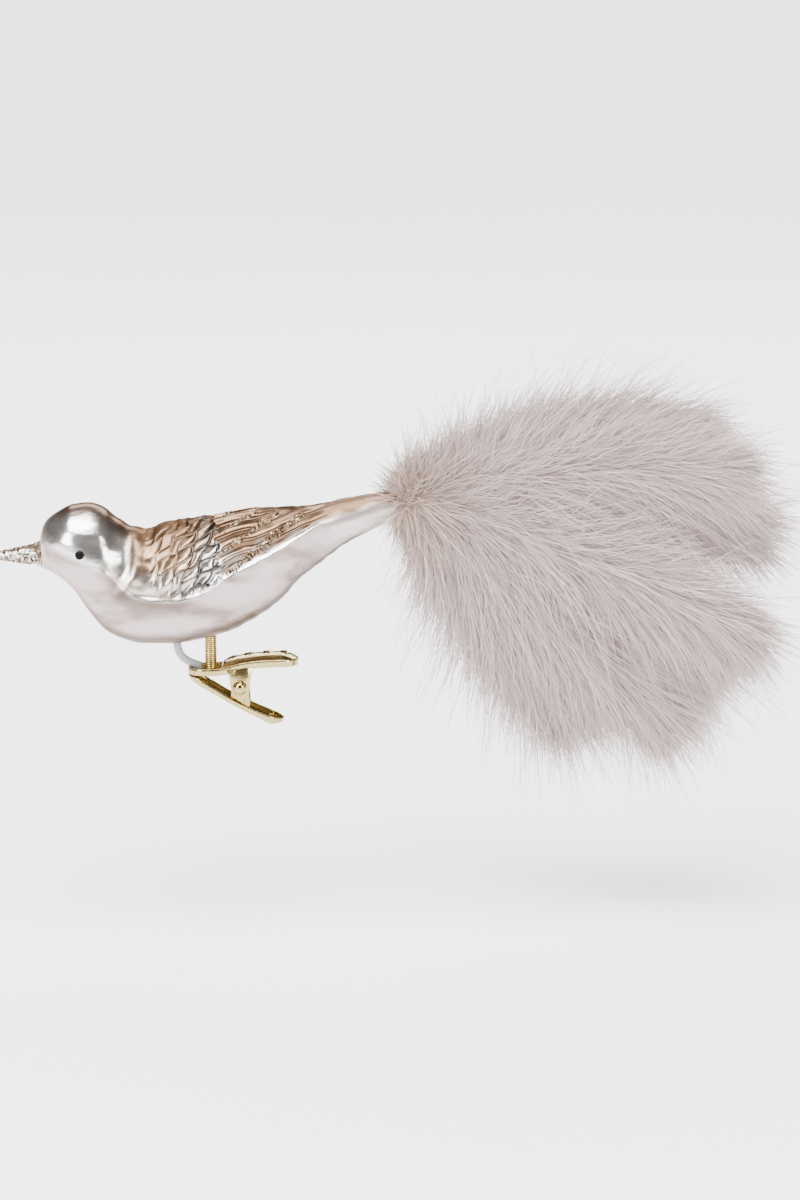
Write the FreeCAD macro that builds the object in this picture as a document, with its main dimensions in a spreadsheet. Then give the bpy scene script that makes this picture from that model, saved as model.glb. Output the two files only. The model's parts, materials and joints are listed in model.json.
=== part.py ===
"""Clip-on glass bird with a plume tail, modelled as its separate pieces.

Millimetres, +Z up. The bird faces -X and its left side faces -Y. The origin lies
in the middle of the underside of the upper jaw, where the clip bites on a twig.
Every driving size is a cell of the sheet "Sizes".
"""
import FreeCAD, Part
import math
import os

from FreeCAD import Placement, Rotation, Vector

SIZES = {
    # blown glass
    "glass_wall": 0.8,
    "coat_thickness": 0.18,
    "eye_radius": 0.95,
    "eye_along": -29.6,
    "eye_height": 32.2,
    "streak_width": 1.3,
    "belly_hole_radius": 2.0,
    # spring leg
    "leg_along": 2.6,
    "leg_mean_radius": 1.28,
    "leg_wire_radius": 0.21,
    "leg_pitch": 0.5,
    "leg_top": 17.5,
    "seat_radius": 3.4,
    "seat_top": 16.0,
    "seat_clearance": 0.06,
    "leg_clearance": 0.02,
    "foot_shank_radius": 0.95,
    "foot_shank_top": 2.6,
    "foot_head_radius": 1.8,
    "foot_head_thickness": 0.4,
    # clip
    "clip_width": 9.0,
    "sheet_metal": 0.5,
    "jaw_depth": 1.6,
    "jaw_gap": 0.02,
    "flange_height": 1.5,
    "crown_rise": 1.4,
    "pivot_along": 10.0,
    "pivot_height": -2.6,
    "pivot_radius": 0.8,
    "pivot_clearance": 0.05,
    "rivet_head_radius": 1.8,
    "rivet_head_stand": 0.63,
    "ear_radius": 2.35,
    "inner_ear_radius": 2.1,
    "inner_ear_spread": 7.8,
    "star_radius": 1.6,
    "star_rise": 0.25,
    "star_sink": 0.35,
    "coil_mean_radius": 1.25,
    "coil_wire_radius": 0.22,
    "coil_pitch": 0.6,
    "coil_length": 4.8,
    "upper_arm": 6.2,
    "lower_arm": 5.6,
    "tie_radius": 1.0,
    # tail
    "quill_radius": 0.35,
    "vane_thickness": 0.8,
    "quill_root_radius": 0.42,
    "quill_depth": 8.0,
    "plume_spacing": 0.5,
    "plume_yaw_step": 4.5,
    "plug_start": 46.5,
    "plug_end": 49.6,
    "binding_radius": 2.25,
    "binding_wire_radius": 0.15,
    "binding_pitch": 0.4,
    "binding_depth": 4.9,
}

# Stations of the blown body from the brow to the mouth of the tail tube:
# place along X, underside, top, and half-width over half-height.
BODY_STATIONS = [
    (-39.9, 27.8, 33.6, 0.97),
    (-39.2, 27.0, 37.6, 0.97),
    (-37.8, 26.2, 39.4, 0.99),
    (-35.0, 24.8, 41.4, 0.99),
    (-31.5, 22.0, 43.0, 0.98),
    (-27.5, 15.8, 43.3, 0.83),
    (-23.0, 10.8, 41.9, 0.83),
    (-17.5, 8.5, 37.2, 0.90),
    (-11.0, 7.9, 38.9, 0.87),
    (-2.0, 8.6, 40.2, 0.86),
    (7.0, 11.0, 41.7, 0.85),
    (13.0, 13.9, 42.7, 0.85),
    (19.0, 18.0, 42.9, 0.86),
    (25.0, 24.2, 43.2, 0.90),
    (31.0, 29.1, 43.7, 0.93),
    (37.0, 33.5, 44.7, 0.94),
    (43.0, 36.6, 45.8, 0.94),
    (49.25, 39.6, 46.5, 0.94),
]
BEAK_TIP = (-52.5, 29.9, 0.45)
BEAK_BASE = (-39.6, 30.6, 3.0)

# Glitter streaks on the wing: start and end seen from the side, as (X, Z).
WING_STREAKS = [
    ((6.2, 40.2), (11.2, 41.6)),
    ((6.5, 37.7), (14.5, 42.0)),
    ((5.8, 32.9), (19.5, 41.6)),
    ((7.2, 27.7), (25.5, 41.4)),
]

STREAK_INNER_EDGE = 2.5

# Plumes from the left of the tail to its right: heading where the plume leaves the
# mouth, bend of its shaft over its length (degrees), length, width above the shaft,
# width below it.
PLUMES = [
    (-8.0, -16.0, 86.0, 16.0, 16.0),
    (17.0, -20.0, 86.0, 17.0, 15.0),
    (-40.0, -6.0, 88.0, 15.0, 15.0),
    (6.0, -14.0, 88.0, 17.0, 16.0),
    (-54.0, -2.0, 84.0, 13.0, 13.0),
    (30.0, -36.0, 84.0, 14.0, 13.0),
    (-24.0, -12.0, 88.0, 16.0, 16.0),
]
PLUME_START = (49.9, 43.25)
PLUME_ROW_STAGGER = 0.55
TUBE_RISE = 19.0
QUILL_OVERLAP = 0.3
MOUTH_REACH = 0.8
QUILL_BEND_LENGTH = 8.0
BINDING_TURNS = 6

# Upper jaw and handle, seen from the side or from above.
JAW_NOSE = -3.2
JAW_REAR = 6.5
HANDLE_SPINE = ((5.2, 0.35), (15.0, 2.2), (24.6, 2.3))
STAR_PLACES = (7.4, 12.1, 16.8, 21.5)
STAR_INNER_SHARE = 0.42
BETWEEN_UPPER_EARS = [(5, -8), (15, -8), (15, 4), (5, 4)]
TRIM_MARGIN = 3.0

# Lower lever seen from the side, from the jaw to the thumb end.
LOWER_RIM = [(-3.1, 0.0), (-1.6, 0.0), (6.5, -5.2), (12.5, -8.2), (18.0, -10.4), (20.9, -11.3)]
LOWER_FLOOR = [(20.9, -12.4), (18.6, -12.5), (13.7, -10.4), (8.0, -7.4), (-3.1, -0.55)]
LOWER_EAR_FOOT = ((7.9, -7.3), (12.1, -9.4))
BETWEEN_LOWER_EARS = [(5, -12), (15, -12), (15, 1), (5, 1)]
TROUGH_MOUTH = [(-1.4, -1.1), (-1.4, 1.0), (20.0, 1.0)]

# Soft tie between the jaw and the belly, seen from the side.
TIE_ROUTE = [(0.2, 1.55), (-4.6, 3.6), (-6.0, 7.6)]
TIE_SIDE = 1.0

DOC = FreeCAD.newDocument("glass_bird")


def make_sheet():
    """Put every driving size in the spreadsheet, one alias to a row."""
    sheet = DOC.addObject("Spreadsheet::Sheet", "Sizes")
    for row, (alias, value) in enumerate(SIZES.items(), start=1):
        sheet.set(f"A{row}", alias)
        sheet.set(f"B{row}", str(value))
        sheet.setAlias(f"B{row}", alias)
    DOC.recompute()
    return sheet


def bind(item, **expressions):
    """Bind properties of a document object to cells of the sheet."""
    for name, expression in expressions.items():
        item.setExpression(name.replace("__", "."), expression)


def add(kind, name, place=None, **expressions):
    """A document object at a place, with its sizes bound to the sheet."""
    item = DOC.addObject(kind, name)
    if place is not None:
        item.Placement = place
    bind(item, **expressions)
    return item


def at(x, y, z, axis=(0, 0, 1), angle=0.0):
    """Placement at a point, turned about an axis by degrees."""
    return Placement(Vector(x, y, z), Rotation(Vector(*axis), angle))


def label(item, node):
    """Name a finished sub-part."""
    item.Label = node
    return item


def origin_feature(body, role):
    """A body's own origin plane or axis."""
    return next(item for item in body.Origin.OriginFeatures if item.Role == role)


def new_sketch(body, role, name, offset=None):
    """An empty sketch on one of the body's origin planes."""
    sketch = body.newObject("Sketcher::SketchObject", name)
    sketch.AttachmentSupport = [(origin_feature(body, role), "")]
    sketch.MapMode = "FlatFace"
    if offset is not None:
        sketch.AttachmentOffset = Placement(Vector(*offset), Rotation())
    return sketch


def flat(point):
    """A sketch point."""
    return Vector(point[0], point[1], 0)


def draw_line(sketch, start, end):
    sketch.addGeometry(Part.LineSegment(flat(start), flat(end)))


def draw_arc(sketch, start, middle, end):
    sketch.addGeometry(Part.Arc(flat(start), flat(middle), flat(end)))


def draw_closed(sketch, points):
    """A closed outline of straight edges."""
    for start, end in zip(points, points[1:] + points[:1]):
        draw_line(sketch, start, end)


def draw_circle(sketch, centre, radius):
    sketch.addGeometry(Part.Circle(flat(centre), Vector(0, 0, 1), radius))


def pad(body, sketch, name, length, symmetric=False):
    """Pad a sketch by an expression of the sheet."""
    feature = body.newObject("PartDesign::Pad", name)
    feature.Profile = sketch
    if symmetric:
        feature.SideType = "Symmetric"
    bind(feature, Length=length)
    return feature


def pocket(body, sketch, name, length, symmetric=True):
    """Cut a sketch out of the body, by an expression of the sheet."""
    feature = body.newObject("PartDesign::Pocket", name)
    feature.Profile = sketch
    if symmetric:
        feature.SideType = "Symmetric"
    bind(feature, Length=length)
    return feature


# ---------------------------------------------------------------- blown glass

def body_loft(name, growth, first=0, overrun=0.0):
    """Loft of elliptical stations, each grown outwards by an expression."""
    rings = []
    for number, (along, bottom, top, flatness) in enumerate(BODY_STATIONS[first:]):
        half = (top - bottom) / 2
        last = number == len(BODY_STATIONS) - first - 1
        turn = Rotation(Vector(0, 0, 1), Vector(0, 1, 0), Vector(-1, 0, 0), "XYZ")
        centre = Vector(along + (overrun if last else 0.0), 0, (top + bottom) / 2)
        ring = add("Part::Ellipse", f"{name}_ring_{number + 1}", Placement(centre, turn),
                   MajorRadius=f"{half} mm + ({growth}) * 1 mm",
                   MinorRadius=f"{half * flatness} mm + ({growth}) * 1 mm")
        rings.append(ring)
    loft = DOC.addObject("Part::Loft", name)
    loft.Sections = rings
    loft.Solid = True
    return loft


def cone_along_x(name, tip, base, growth):
    """Cone of the beak, grown outwards by a length."""
    run = Vector(base[0] - tip[0], 0, base[1] - tip[1])
    cone = DOC.addObject("Part::Cone", name)
    cone.Radius1 = tip[2] + growth
    cone.Radius2 = base[2] + growth
    cone.Height = run.Length
    cone.Placement = Placement(Vector(tip[0], 0, tip[1]), Rotation(Vector(0, 0, 1), run))
    return cone


def combine(kind, name, base, tool):
    """Part::Cut or Part::Common of two objects."""
    item = DOC.addObject(kind, name)
    item.Base = base
    item.Tool = tool
    return item


def fuse_all(name, items):
    item = DOC.addObject("Part::MultiFuse", name)
    item.Shapes = items
    return item


def compound(name, items):
    item = DOC.addObject("Part::Compound", name)
    item.Links = items
    return item


def make_glass():
    """Hollow bird: head, body and tail tube in one blown shell, with a solid beak tip."""
    outer = body_loft("glass_outer", "0")
    beak_outer = cone_along_x("beak_outer", BEAK_TIP, BEAK_BASE, 0.0)
    skin = fuse_all("glass_outside", [outer, beak_outer])
    inner = body_loft("glass_inner", "-Sizes.glass_wall", first=1, overrun=0.4)
    hole = add("Part::Cylinder", "belly_hole", at(SIZES["leg_along"], 0, 0),
               Radius="Sizes.belly_hole_radius", Height="Sizes.seat_top")
    hollow = combine("Part::Cut", "glass_hollow", skin, inner)
    glass = combine("Part::Cut", "glass_shell", hollow, hole)
    return label(glass, "glass_body"), skin, inner


def make_coats(skin):
    """Painted eyes, glitter on the beak and glitter streaks on both wings."""
    grown = body_loft("coat_outer", "Sizes.coat_thickness")
    coat = combine("Part::Cut", "coat_layer", grown, skin)
    parts = []
    for side, node in ((-1, "left_eye"), (1, "right_eye")):
        post = add("Part::Cylinder", node + "_post", at(0, 0, 0, (1, 0, 0), side * -90),
                   Radius="Sizes.eye_radius", Height="Sizes.clip_width * 2")
        bind(post, Placement__Base__x="Sizes.eye_along", Placement__Base__z="Sizes.eye_height")
        parts.append(label(combine("Part::Common", node + "_paint", coat, post), node))
    for side, node in ((-1, "left_wing_glitter"), (1, "right_wing_glitter")):
        streaks = []
        for number, (start, end) in enumerate(WING_STREAKS):
            bar = streak_bar(f"{node}_bar_{number + 1}", start, end, side)
            streaks.append(combine("Part::Common", f"{node}_streak_{number + 1}", coat, bar))
        parts.append(label(compound(node + "_streaks", streaks), node))
    thick = cone_along_x("beak_coat_outer", BEAK_TIP, BEAK_BASE, SIZES["coat_thickness"])
    sleeve = combine("Part::Cut", "beak_coat", thick, skin)
    parts.append(label(sleeve, "beak_glitter"))
    return parts


def streak_bar(name, start, end, side):
    """Bar across one side of the bird that marks out one glitter streak."""
    run = Vector(end[0] - start[0], 0, end[1] - start[1])
    bar = add("Part::Box", name, Width="Sizes.clip_width * 2", Height="Sizes.streak_width")
    bar.Length = run.Length
    near = STREAK_INNER_EDGE if side > 0 else -STREAK_INNER_EDGE - SIZES["clip_width"] * 2
    bar.Placement = Placement(Vector(start[0], near, start[1]), Rotation(Vector(1, 0, 0), run))
    return bar


# ---------------------------------------------------------------- spring leg

def coil(name, mean_radius, wire_radius, pitch, height, place):
    """Round wire wound as a helix about its own Z."""
    helix = add("Part::Helix", name + "_path", Radius=mean_radius, Pitch=pitch, Height=height)
    wire = add("Part::Circle", name + "_wire", at(0, 0, 0, (1, 0, 0), 90), Radius=wire_radius)
    bind(wire, Placement__Base__x=mean_radius)
    sweep = DOC.addObject("Part::Sweep", name)
    sweep.Sections = [wire]
    sweep.Spine = (helix, [])
    sweep.Solid = True
    sweep.Frenet = True
    sweep.Placement = place
    return sweep


def make_leg(inner):
    """Close-wound leg, its cement seat inside the belly and the hollow rivet at its foot."""
    foot = SIZES["sheet_metal"] + SIZES["leg_wire_radius"] + SIZES["leg_clearance"]
    leg = coil("leg_coil", "Sizes.leg_mean_radius", "Sizes.leg_wire_radius", "Sizes.leg_pitch",
               f"Sizes.leg_top - {foot}", at(SIZES["leg_along"], 0, foot))
    seat_block = add("Part::Cylinder", "seat_block", at(SIZES["leg_along"], 0, 0),
                     Radius="Sizes.seat_radius", Height="Sizes.seat_top")
    seat_bore = add("Part::Cylinder", "seat_bore", at(SIZES["leg_along"], 0, 0),
                    Radius="Sizes.leg_mean_radius + Sizes.leg_wire_radius + Sizes.seat_clearance",
                    Height="Sizes.leg_top")
    seat_inside = combine("Part::Common", "seat_inside", seat_block, inner)
    seat = combine("Part::Cut", "seat", seat_inside, seat_bore)
    shank = add("Part::Cylinder", "foot_shank", at(SIZES["leg_along"], 0, 0),
                Radius="Sizes.foot_shank_radius", Height="Sizes.foot_shank_top")
    head = add("Part::Cylinder", "foot_head", at(SIZES["leg_along"], 0, -SIZES["foot_head_thickness"]),
               Radius="Sizes.foot_head_radius", Height="Sizes.foot_head_thickness")
    rivet = fuse_all("foot_rivet_solid", [shank, head])
    return [label(leg, "leg_spring"), label(seat, "belly_seat"), label(rivet, "foot_rivet")]


def make_tie():
    """Soft tie: two straight runs joined by one tangent arc, swept by a circle."""
    points = [Vector(x, TIE_SIDE, z) for x, z in TIE_ROUTE]
    first = (points[1] - points[0]).normalize()
    second = (points[2] - points[1]).normalize()
    half_turn = first.getAngle(second) / 2
    reach = 0.45 * min((points[1] - points[0]).Length, (points[2] - points[1]).Length)
    radius = reach / math.tan(half_turn)
    arc_start = points[1] - first * reach
    arc_end = points[1] + second * reach
    inward = (second - first).normalize()
    middle = points[1] + inward * (radius / math.cos(half_turn) - radius)
    wire = Part.Wire([Part.makeLine(points[0], arc_start),
                      Part.Arc(arc_start, middle, arc_end).toShape(),
                      Part.makeLine(arc_end, points[2])])
    section = Part.Wire([Part.makeCircle(SIZES["tie_radius"], points[0], first)])
    tie = DOC.addObject("Part::Feature", "soft_tie_solid")
    tie.Shape = wire.makePipeShell([section], True, True)
    print("soft tie bend radius", round(radius, 2))
    return label(tie, "soft_tie")


# ---------------------------------------------------------------- clip

def star_outline(centre, radius):
    """Corners of a five-pointed star, one point towards the thumb end."""
    inner = radius * STAR_INNER_SHARE
    corners = []
    for number in range(10):
        reach = radius if number % 2 == 0 else inner
        angle = math.radians(36 * number)
        corners.append((centre + reach * math.cos(angle), reach * math.sin(angle)))
    return corners


def handle_height(along):
    """Height of the handle's spine arc at a place along X."""
    start, middle, end = (Vector(x, 0, z) for x, z in HANDLE_SPINE)
    circle = Part.Arc(start, middle, end).toShape().Curve
    centre = circle.Center
    return centre.z + math.sqrt(circle.Radius ** 2 - (along - centre.x) ** 2)


def make_upper_lever():
    """Spoon jaw, crowned handle with raised stars and the two ears, in one stamping."""
    half = SIZES["clip_width"] / 2
    metal = SIZES["sheet_metal"]
    pivot = (SIZES["pivot_along"], SIZES["pivot_height"])
    ear = SIZES["ear_radius"]
    body = DOC.addObject("PartDesign::Body", "upper_lever_body")

    ears = new_sketch(body, "XZ_Plane", "ear_outline")
    draw_line(ears, (pivot[0] - ear, 1.2), (pivot[0] - ear, pivot[1]))
    draw_arc(ears, (pivot[0] - ear, pivot[1]), (pivot[0], pivot[1] - ear), (pivot[0] + ear, pivot[1]))
    draw_line(ears, (pivot[0] + ear, pivot[1]), (pivot[0] + ear, 2.0))
    draw_line(ears, (pivot[0] + ear, 2.0), (pivot[0] - ear, 1.2))
    pad(body, ears, "ears", "Sizes.clip_width", symmetric=True)
    between = new_sketch(body, "XZ_Plane", "between_ears")
    draw_closed(between, BETWEEN_UPPER_EARS)
    pocket(body, between, "ear_gap", "Sizes.clip_width - 2 * Sizes.sheet_metal")

    spine = new_sketch(body, "XZ_Plane", "handle_spine")
    draw_arc(spine, *HANDLE_SPINE)
    channel = new_sketch(body, "YZ_Plane", "handle_section",
                         (0, HANDLE_SPINE[0][1], HANDLE_SPINE[0][0]))
    flange = SIZES["flange_height"]
    crown = flange + SIZES["crown_rise"]
    inside = half - metal
    draw_line(channel, (-half, 0), (-half, flange))
    draw_arc(channel, (-half, flange), (0, crown), (half, flange))
    draw_line(channel, (half, flange), (half, 0))
    draw_line(channel, (half, 0), (inside, 0))
    draw_line(channel, (inside, 0), (inside, flange - metal / 2))
    draw_arc(channel, (inside, flange - metal / 2), (0, crown - metal), (-inside, flange - metal / 2))
    draw_line(channel, (-inside, flange - metal / 2), (-inside, 0))
    draw_line(channel, (-inside, 0), (-half, 0))
    handle = body.newObject("PartDesign::AdditivePipe", "handle")
    handle.Profile = channel
    handle.Spine = (spine, ["Edge1"])

    end = HANDLE_SPINE[2][0]
    shoulder = end - half
    rounding = new_sketch(body, "XY_Plane", "thumb_end")
    draw_arc(rounding, (shoulder, -half), (end, 0), (shoulder, half))
    corner = (end + TRIM_MARGIN, half + TRIM_MARGIN)
    draw_line(rounding, (shoulder, half), (shoulder, corner[1]))
    draw_line(rounding, (shoulder, corner[1]), corner)
    draw_line(rounding, corner, (corner[0], -corner[1]))
    draw_line(rounding, (corner[0], -corner[1]), (shoulder, -corner[1]))
    draw_line(rounding, (shoulder, -corner[1]), (shoulder, -half))
    pocket(body, rounding, "thumb_rounding", "Sizes.clip_width * 2")

    for name, inset in (("jaw_outline", 0.0), ("jaw_hollow", metal)):
        level = SIZES["sheet_metal"] if inset else 0.0
        plan = new_sketch(body, "XY_Plane", name, (0, 0, level))
        edge = half - inset
        rear = JAW_REAR - inset
        centre = JAW_NOSE + half
        draw_arc(plan, (centre, -edge), (JAW_NOSE + inset, 0), (centre, edge))
        draw_line(plan, (centre, edge), (rear, edge))
        draw_line(plan, (rear, edge), (rear, -edge))
        draw_line(plan, (rear, -edge), (centre, -edge))
        if inset:
            hollow = pocket(body, plan, "jaw_dish", "Sizes.clip_width", symmetric=False)
            hollow.Reversed = True
        else:
            pad(body, plan, "jaw", "Sizes.jaw_depth")

    holes = new_sketch(body, "XZ_Plane", "pivot_circle")
    draw_circle(holes, pivot, SIZES["pivot_radius"])
    pocket(body, holes, "pivot_hole", "Sizes.clip_width * 2")
    foot_hole = new_sketch(body, "XY_Plane", "foot_circle")
    draw_circle(foot_hole, (SIZES["leg_along"], 0), SIZES["foot_shank_radius"])
    pocket(body, foot_hole, "foot_hole", "Sizes.clip_width")

    for number, place in enumerate(STAR_PLACES):
        height = handle_height(place) + crown - SIZES["star_sink"]
        star = new_sketch(body, "XY_Plane", f"star_{number + 1}", (0, 0, height))
        draw_closed(star, star_outline(place, SIZES["star_radius"]))
        pad(body, star, f"star_pad_{number + 1}", "Sizes.star_rise + Sizes.star_sink")
    return label(body, "upper_lever")


def make_lower_lever():
    """Lower jaw and thumb plate: a trough with two inner ears on the pivot."""
    half = SIZES["clip_width"] / 2
    metal = SIZES["sheet_metal"]
    pivot = (SIZES["pivot_along"], SIZES["pivot_height"])
    ear = SIZES["inner_ear_radius"]
    gap = SIZES["jaw_gap"]
    body = DOC.addObject("PartDesign::Body", "lower_lever_body")

    ears = new_sketch(body, "XZ_Plane", "ear_outline")
    front, rear = LOWER_EAR_FOOT
    draw_line(ears, front, (pivot[0] - ear, pivot[1]))
    draw_arc(ears, (pivot[0] - ear, pivot[1]), (pivot[0], pivot[1] + ear), (pivot[0] + ear, pivot[1]))
    draw_line(ears, (pivot[0] + ear, pivot[1]), rear)
    draw_line(ears, rear, front)
    pad(body, ears, "ears", "Sizes.inner_ear_spread", symmetric=True)
    between = new_sketch(body, "XZ_Plane", "between_ears")
    draw_closed(between, BETWEEN_LOWER_EARS)
    pocket(body, between, "ear_gap", "Sizes.inner_ear_spread - 2 * Sizes.sheet_metal")

    rim = [(x, z - gap) for x, z in LOWER_RIM]
    trough = new_sketch(body, "XZ_Plane", "trough_side")
    draw_closed(trough, rim + LOWER_FLOOR)
    pad(body, trough, "trough", "Sizes.clip_width", symmetric=True)
    holes = new_sketch(body, "XZ_Plane", "pivot_circle")
    draw_circle(holes, pivot, SIZES["pivot_radius"] + SIZES["pivot_clearance"])
    pocket(body, holes, "pivot_hole", "Sizes.clip_width * 2")
    rounding = new_sketch(body, "XY_Plane", "end_rounding")
    for end, way in ((LOWER_RIM[0][0], 1), (LOWER_RIM[-1][0], -1)):
        shoulder = end + way * half
        corner = (end - way * TRIM_MARGIN, half + TRIM_MARGIN)
        draw_arc(rounding, (shoulder, -half), (end, 0), (shoulder, half))
        draw_line(rounding, (shoulder, half), (shoulder, corner[1]))
        draw_line(rounding, (shoulder, corner[1]), corner)
        draw_line(rounding, corner, (corner[0], -corner[1]))
        draw_line(rounding, (corner[0], -corner[1]), (shoulder, -corner[1]))
        draw_line(rounding, (shoulder, -corner[1]), (shoulder, -half))
    pocket(body, rounding, "ends_rounded", "Sizes.clip_width * 6")

    # The trough is hollow between the ears; its walls are folded double, as thick as
    # the ears and the flange together.
    lift = [(x, z + metal) for x, z in LOWER_FLOOR[1:-1]]
    rear_corner = (TROUGH_MOUTH[-1][0], lift[0][1])
    hollow = new_sketch(body, "XZ_Plane", "trough_hollow")
    draw_closed(hollow, TROUGH_MOUTH + [rear_corner] + lift)
    pocket(body, hollow, "trough_inside", "Sizes.inner_ear_spread - 2 * Sizes.sheet_metal")
    return label(body, "lower_lever")


def make_pivot_rivet():
    """Rivet with two ball heads, turned about Y."""
    body = DOC.addObject("PartDesign::Body", "pivot_rivet_body")
    outline = new_sketch(body, "XY_Plane", "rivet_outline")
    radius = SIZES["pivot_radius"]
    head = SIZES["rivet_head_radius"]
    face = SIZES["clip_width"] / 2
    centre = face + SIZES["rivet_head_stand"]
    rim = math.sqrt(head ** 2 - (centre - face) ** 2)
    tip = centre + head
    bulge = head * math.sqrt(0.5)
    draw_line(outline, (0, -tip), (0, tip))
    draw_arc(outline, (0, tip), (bulge, centre + bulge), (rim, face))
    draw_line(outline, (rim, face), (radius, face))
    draw_line(outline, (radius, face), (radius, -face))
    draw_line(outline, (radius, -face), (rim, -face))
    draw_arc(outline, (rim, -face), (bulge, -centre - bulge), (0, -tip))
    turning = body.newObject("PartDesign::Revolution", "rivet_turning")
    turning.Profile = outline
    turning.ReferenceAxis = (origin_feature(body, "Y_Axis"), [""])
    bind(body, Placement__Base__x="Sizes.pivot_along", Placement__Base__z="Sizes.pivot_height")
    return label(body, "pivot_rivet")


def make_torsion_spring():
    """Coil about the pivot with one leg up to the handle and one down to the trough."""
    pivot = (SIZES["pivot_along"], SIZES["pivot_height"])
    start = -SIZES["coil_length"] / 2
    turns = coil("torsion_coil", "Sizes.coil_mean_radius", "Sizes.coil_wire_radius",
                 "Sizes.coil_pitch", "Sizes.coil_length",
                 at(pivot[0], start, pivot[1], (1, 0, 0), -90))
    leg_x = pivot[0] + SIZES["coil_mean_radius"]
    upper = add("Part::Cylinder", "upper_arm", at(leg_x, start, pivot[1]),
                Radius="Sizes.coil_wire_radius", Height="Sizes.upper_arm")
    lower = add("Part::Cylinder", "lower_arm", at(leg_x, -start, pivot[1] - SIZES["lower_arm"]),
                Radius="Sizes.coil_wire_radius", Height="Sizes.lower_arm")
    return label(fuse_all("torsion_spring_solid", [turns, upper, lower]), "torsion_spring")


# ---------------------------------------------------------------- tail

def advance(point, heading, turn, length):
    """Middle, end and new heading of an arc that leaves a point at a heading."""
    if abs(turn) < 1e-6:
        way = (math.cos(math.radians(heading)), math.sin(math.radians(heading)))
        middle = (point[0] + way[0] * length / 2, point[1] + way[1] * length / 2)
        return middle, (point[0] + way[0] * length, point[1] + way[1] * length), heading
    steps = []
    radius = length / math.radians(turn)
    for share in (0.5, 1.0):
        angle = math.radians(heading + turn * share)
        start = math.radians(heading)
        steps.append((point[0] + radius * (math.sin(angle) - math.sin(start)),
                      point[1] - radius * (math.cos(angle) - math.cos(start))))
    return steps[0], steps[1], heading + turn


def make_plume(number, heading, bend, length, above, below):
    """One plume: a bent quill and shaft with a thin leaf-shaped vane."""
    body = DOC.addObject("PartDesign::Body", f"plume_{number + 1}_body")
    rank = number - (len(PLUMES) - 1) / 2
    radius = SIZES["quill_radius"]
    rise = math.tan(math.radians(TUBE_RISE))
    start = (-QUILL_OVERLAP, -QUILL_OVERLAP * rise)
    mouth = (MOUTH_REACH, MOUTH_REACH * rise)
    middle, root, _ = advance(mouth, TUBE_RISE, heading - TUBE_RISE, QUILL_BEND_LENGTH)
    shaft_middle, tip, _ = advance(root, heading, bend, length)
    _, shaft_end, _ = advance(root, heading, bend * 0.8, length * 0.8)
    shaft_half, _, _ = advance(root, heading, bend * 0.8, length * 0.8)

    section = new_sketch(body, "YZ_Plane", "quill_section", (0, 0, start[0]))
    draw_circle(section, (0, start[1]), radius)
    spine = new_sketch(body, "XZ_Plane", "quill_route")
    draw_line(spine, start, mouth)
    draw_arc(spine, mouth, middle, root)
    draw_arc(spine, root, shaft_half, shaft_end)
    quill = body.newObject("PartDesign::AdditivePipe", "quill")
    quill.Profile = section
    quill.Spine = (spine, ["Edge1", "Edge2", "Edge3"])

    along = (tip[0] - root[0], tip[1] - root[1])
    size = math.hypot(*along)
    normal = (-along[1] / size, along[0] / size)
    leaf = new_sketch(body, "XZ_Plane", "vane_outline")
    upper = (shaft_middle[0] + normal[0] * above, shaft_middle[1] + normal[1] * above)
    lower = (shaft_middle[0] - normal[0] * below, shaft_middle[1] - normal[1] * below)
    draw_arc(leaf, root, upper, tip)
    draw_arc(leaf, tip, lower, root)
    pad(body, leaf, "vane", "Sizes.vane_thickness", symmetric=True)

    stagger = PLUME_ROW_STAGGER if number % 2 else -PLUME_ROW_STAGGER
    body.Placement = at(PLUME_START[0], 0, PLUME_START[1] + stagger, (0, 0, 1), 0)
    bind(body, Placement__Base__y=f"{rank} * Sizes.plume_spacing",
         Placement__Rotation__Angle=f"{rank} * Sizes.plume_yaw_step")
    stub = add("Part::Cylinder", f"plume_{number + 1}_stub",
               Radius="Sizes.quill_root_radius", Height="Sizes.quill_depth")
    stub.Placement = at(PLUME_START[0], 0, PLUME_START[1] + stagger, (0, 1, 0), -90 - TUBE_RISE)
    bind(stub, Placement__Base__y=f"{rank} * Sizes.plume_spacing")
    return label(fuse_all(f"plume_{number + 1}_solid", [body, stub]), f"plume_{number + 1}")


def make_tail(inner):
    """Plumes, the thread that binds their quills and the plug that seals the tube."""
    plumes = [make_plume(number, *values) for number, values in enumerate(PLUMES)]
    block = add("Part::Box", "plug_block", Length="Sizes.plug_end - Sizes.plug_start",
                Width="Sizes.clip_width", Height="Sizes.clip_width * 2")
    bind(block, Placement__Base__x="Sizes.plug_start", Placement__Base__y="-Sizes.clip_width / 2",
         Placement__Base__z="Sizes.eye_height")
    bead = combine("Part::Common", "plug_bead", block, inner)
    plug = combine("Part::Cut", "plug_drilled", bead, compound("quill_bundle", plumes))
    back = Vector(-math.cos(math.radians(TUBE_RISE)), 0, -math.sin(math.radians(TUBE_RISE)))
    turns = []
    for number in range(BINDING_TURNS):
        depth = SIZES["binding_depth"] + SIZES["binding_pitch"] * number
        centre = Vector(PLUME_START[0], 0, PLUME_START[1]) + back * depth
        place = at(centre.x, 0, centre.z, (0, 1, 0), 90 - TUBE_RISE)
        turns.append(add("Part::Torus", f"binding_turn_{number + 1}", place,
                         Radius1="Sizes.binding_radius", Radius2="Sizes.binding_wire_radius"))
    binding = compound("binding_turns", turns)
    return plumes + [label(plug, "tail_plug"), label(binding, "tail_binding")]


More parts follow.
